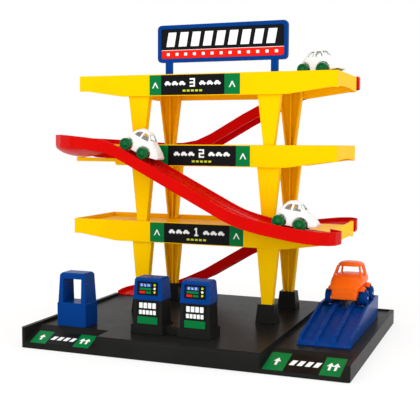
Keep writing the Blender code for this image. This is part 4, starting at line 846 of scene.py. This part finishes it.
class STATION_OT_pumps(bpy.types.Operator):
    """Finish the fuel pumps on their island, with displays and front labels"""

    bl_idname = "station.pumps"
    bl_label = "Fuel pumps"

    def execute(self, context):
        finish_nodes(nodes_that_start("Pump_island", "Pump_body"), plastic("black_plastic"))
        finish_nodes(nodes_that_start("Pump_head"), plastic("blue_plastic"))
        for side in ("left", "right"):
            self.body_label(side)
            self.display(side)
        return {"FINISHED"}

    def body_label(self, side):
        """Two rows of plain blocks over a green field, on the body's leaning front."""
        low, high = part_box(f"Pump_body_{side}")
        place = leaning_place(low, high, PUMP_BODY_LEAN, 0.0)
        prints = []
        for foot, tall, count in PUMP_ROWS:
            pitch = PUMP_ROW_WIDTH / count
            for i in range(count):
                left = -PUMP_ROW_WIDTH / 2 + pitch * (i + 0.1)
                block = in_mm(left, foot, pitch * 0.8, tall, PUMP_BLOCK_CORNER)
                prints.append((oblong(*block), WHITE))
        prints.append((oblong(*PUMP_GREEN_FIELD), GREEN))
        backing = [(oblong(*PUMP_BACKING), BLACK)]
        label(f"Pump_label_{side}", backing, prints, place)

    def display(self, side):
        """The readout panel that lies in the head's recess."""
        low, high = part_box(f"Pump_head_{side}")
        place = leaning_place(low, high, PUMP_HEAD_LEAN, PUMP_HEAD_RECESS * MM)
        w, h = PUMP_DISPLAY_WIDTH * MM, PUMP_DISPLAY_HEIGHT * MM
        base = (high.z - low.z) * PUMP_DISPLAY_LEVEL - h / 2
        left = -w / 2
        prints = [
            (oblong(left + x * MM, base + foot * MM, *in_mm(wide, tall, PUMP_FIELD_CORNER)), ink)
            for x, foot, wide, tall, ink in PUMP_FIELDS
        ]
        for i, ink in enumerate(PUMP_LAMPS):
            foot = base + (PUMP_LAMP_TOP - PUMP_LAMP_PITCH * i) * MM
            prints.append((oblong(left + PUMP_LAMP_LEFT * MM, foot, *PUMP_LAMP), ink))
        for i, number in enumerate(PUMP_NUMBERS):
            x = left + (PUMP_NUMBER_LEFT + i * PUMP_NUMBER_PITCH) * MM
            for shape in digit(number, x, base + PUMP_NUMBER_FOOT * MM, *PUMP_NUMBER):
                prints.append((shape, WHITE))
        backing = [(oblong(left, base, w, h, PUMP_DISPLAY_CORNER * MM), BLACK)]
        label(f"Pump_display_{side}", backing, prints, place)


class STATION_OT_forecourt(bpy.types.Operator):
    """Finish the cashier booth and the service ramp"""

    bl_idname = "station.forecourt"
    bl_label = "Booth and service ramp"

    def execute(self, context):
        finish_nodes(["Cashier_booth", "Service_ramp"], plastic("blue_plastic"))
        return {"FINISHED"}


class STATION_OT_cars(bpy.types.Operator):
    """Finish the three small cars and the large one, with turned wheels and the large one's moulded body"""

    bl_idname = "station.cars"
    bl_label = "Toy cars"

    def execute(self, context):
        steel = drawn_steel("Drawn steel", plastic_settings().steel)
        for car in (*WHITE_CARS, SERVICE_CAR):
            chunky = car == SERVICE_CAR
            shell = "orange_plastic" if chunky else "white_plastic"
            wheels = "blue_plastic" if chunky else "green_plastic"
            finish_nodes([f"{car}_shell"], plastic(shell))
            for end in ("front", "rear"):
                finish_nodes([f"{car}_{end}_axle"], steel)
                for side, way in (("left", 1), ("right", -1)):
                    node = f"{car}_{end}_{side}_wheel"
                    finish_nodes([node], plastic(wheels))
                    self.wheel(node, f"{car}_{end}_wheels", way, wheels, steel, chunky)
        self.service_body()
        return {"FINISHED"}

    def service_body(self):
        """The large car's moulded body: lower hull, waist, mudguards, bumper, six pillars and roof."""
        front_low, front_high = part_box(f"{SERVICE_CAR}_front_left_wheel")
        rear_low, rear_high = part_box(f"{SERVICE_CAR}_rear_right_wheel")
        middle = (front_low + front_high + rear_low + rear_high) / 4
        ground = front_low.z

        def place(x, y, z):
            """A point from millimetres forward, to the car's left and up from the ground."""
            return Vector((middle.x + y * MM, middle.y - x * MM, ground + z * MM))

        bm = bmesh.new()
        for sections in (SERVICE_HULL, SERVICE_WAIST):
            add_loft(bm, [
                [place(x, y, z) for y, z in rounded_section(half, (top - low) / 2, (top + low) / 2)]
                for x, half, low, top in sections
            ])
        add_loft(bm, [
            [place(x, y, z) for x, y in rounded_section(length, half, 0.0, centre)]
            for centre, length, half, z in SERVICE_ROOF
        ])
        add_loft(bm, [[place(x, y, z) for x, z in rounded_section(*BUMPER_SECTION)] for y in BUMPER_SPREAD])
        for way in (-1, 1):
            for ends in SERVICE_PILLARS:
                add_loft(bm, [
                    [place(x + dx, way * (y + dy), z) for dx, dy in PILLAR_CORNERS] for x, y, z in ends
                ])
            for axle in SERVICE_AXLES:
                self.arch(bm, place, axle, way)
        piece = new_piece(
            f"{SERVICE_CAR}_body", bm, [plastic("orange_plastic")], SERVICE_CAR)
        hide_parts(f"{SERVICE_CAR}_shell")

    def arch(self, bm, place, axle, way):
        """A mudguard over one wheel, from the body's side out."""
        rings = []
        for step in range(ARCH_STEPS + 1):
            turn = math.radians(ARCH_START + ARCH_SWEEP * step / ARCH_STEPS)
            rings.append([
                place(axle + radius * math.cos(turn), way * across, AXLE_LEVEL + radius * math.sin(turn))
                for radius, across in ARCH_SECTION
            ])
        add_loft(bm, rings)

    def wheel(self, node, body, way, slot, steel, chunky):
        """A turned wheel in its node's place: round shoulder, groove inside the tyre and domed hub."""
        profile, tyre, tip_bands = (
            (CHUNKY_WHEEL, SERVICE_TYRE, STEEL_BANDS) if chunky else (SMALL_WHEEL, SMALL_TYRE, 0))
        low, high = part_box(node)
        centre = (low + high) / 2
        axis = next(joint["axis"] for joint in frame["joints"] if joint["child"] == body)
        out = Vector(axis).normalized() * way
        across = out.cross(Vector((0.0, 0.0, 1.0))).normalized()
        up = across.cross(out).normalized()
        radius = (high.z - low.z) / 2 - WHEEL_PLAY * MM
        rings = []
        for share, depth in profile:
            foot = centre + out * (tyre * MM) * (depth - 0.5)
            rings.append([
                foot + (across * math.cos(turn) + up * math.sin(turn)) * radius * share
                for turn in turns(WHEEL_STEPS)
            ])
        bm = bmesh.new()
        add_loft(bm, rings, tip_bands)
        piece = new_piece(f"{node}_turned", bm, [plastic(slot), steel], body)
        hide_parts(node)


class STATION_OT_studio(bpy.types.Operator):
    """Make the floor, the lamps, the surroundings and the camera at the photograph's viewpoint"""

    bl_idname = "station.studio"
    bl_label = "Studio"

    def execute(self, context):
        settings = context.scene.station_studio
        self.floor(settings)
        self.lamps(settings)
        self.surroundings(context, settings)
        self.camera(context, settings)
        context.scene.view_settings.view_transform = "Standard"
        return {"FINISHED"}

    def floor(self, settings):
        bm = bmesh.new()
        bmesh.ops.create_grid(bm, x_segments=FLOOR_STEPS, y_segments=FLOOR_STEPS, size=FLOOR_SIZE)
        mesh = bpy.data.meshes.new("Studio_floor")
        bm.to_mesh(mesh)
        bm.free()
        mesh.materials.append(studio_floor("Pale floor", settings.floor, settings.glow))
        floor = add_object("Studio_floor", mesh)
        floor.location = (0.0, 0.0, FLOOR_LEVEL)

    def lamps(self, settings):
        for name, place, size, power in LAMPS:
            data = bpy.data.lights.new(name, "AREA")
            data.energy, data.size = getattr(settings, power), size
            lamp = add_object(name, data)
            lamp.location = place
            lamp.rotation_euler = (LAMP_AIM - Vector(place)).to_track_quat("-Z", "Y").to_euler()

    def surroundings(self, context, settings):
        graph = Graph(bpy.data.worlds.new("Studio"))
        strength = settings.world + (1.0 - settings.world) * graph.seen_straight()
        sky = graph.node("ShaderNodeBackground", {}, {"Color": opaque((1.0, 1.0, 1.0)), "Strength": strength})
        graph.node("ShaderNodeOutputWorld", {}, {"Surface": sky["Background"]})
        context.scene.world = graph.owner

    def camera(self, context, settings):
        data = bpy.data.cameras.new("Camera")
        data.lens, data.sensor_width = settings.lens, SENSOR_WIDTH
        data.clip_start, data.clip_end = CLIP_NEAR, CLIP_FAR
        camera = add_object("Camera", data)
        turn = Matrix.Rotation(math.radians(CAMERA_TURN), 4, "Z")
        tilt = Matrix.Rotation(math.radians(CAMERA_TILT), 4, "X")
        roll = Matrix.Rotation(math.radians(CAMERA_ROLL), 4, "Z")
        camera.matrix_world = Matrix.Translation(CAMERA_PLACE) @ turn @ tilt @ roll
        context.scene.camera = camera


class STATION_PT_panel(bpy.types.Panel):
    """Lists the steps and settings of the toy service station"""

    bl_idname = "STATION_PT_panel"
    bl_label = "Toy service station"
    bl_space_type = "VIEW_3D"
    bl_region_type = "UI"
    bl_category = "Station"

    def draw(self, context):
        for step in STEPS:
            self.layout.operator(step.bl_idname)
        for group in GROUPS:
            settings = getattr(context.scene, group)
            box = self.layout.box()
            for name in settings.__annotations__:
                box.prop(settings, name)


GROUPS = {
    "station_plastics": PlasticSettings, "station_labels": LabelSettings, "station_studio": StudioSettings,
}
STEPS = (
    STATION_OT_studio, STATION_OT_base, STATION_OT_decks, STATION_OT_ramps, STATION_OT_sign, STATION_OT_pumps,
    STATION_OT_forecourt, STATION_OT_cars,
)


def register():
    for name, group in GROUPS.items():
        bpy.utils.register_class(group)
        setattr(bpy.types.Scene, name, bpy.props.PointerProperty(type=group))
    for step in STEPS:
        bpy.utils.register_class(step)
    bpy.utils.register_class(STATION_PT_panel)


def unregister():
    bpy.utils.unregister_class(STATION_PT_panel)
    for step in reversed(STEPS):
        bpy.utils.unregister_class(step)
    for name, group in GROUPS.items():
        delattr(bpy.types.Scene, name)
        bpy.utils.unregister_class(group)


def main():
    register()
    bpy.ops.station.studio()
    bpy.ops.station.base()
    bpy.ops.station.decks()
    bpy.ops.station.ramps()
    bpy.ops.station.sign()
    bpy.ops.station.pumps()
    bpy.ops.station.forecourt()
    bpy.ops.station.cars()


if __name__ == "__main__":
    main()
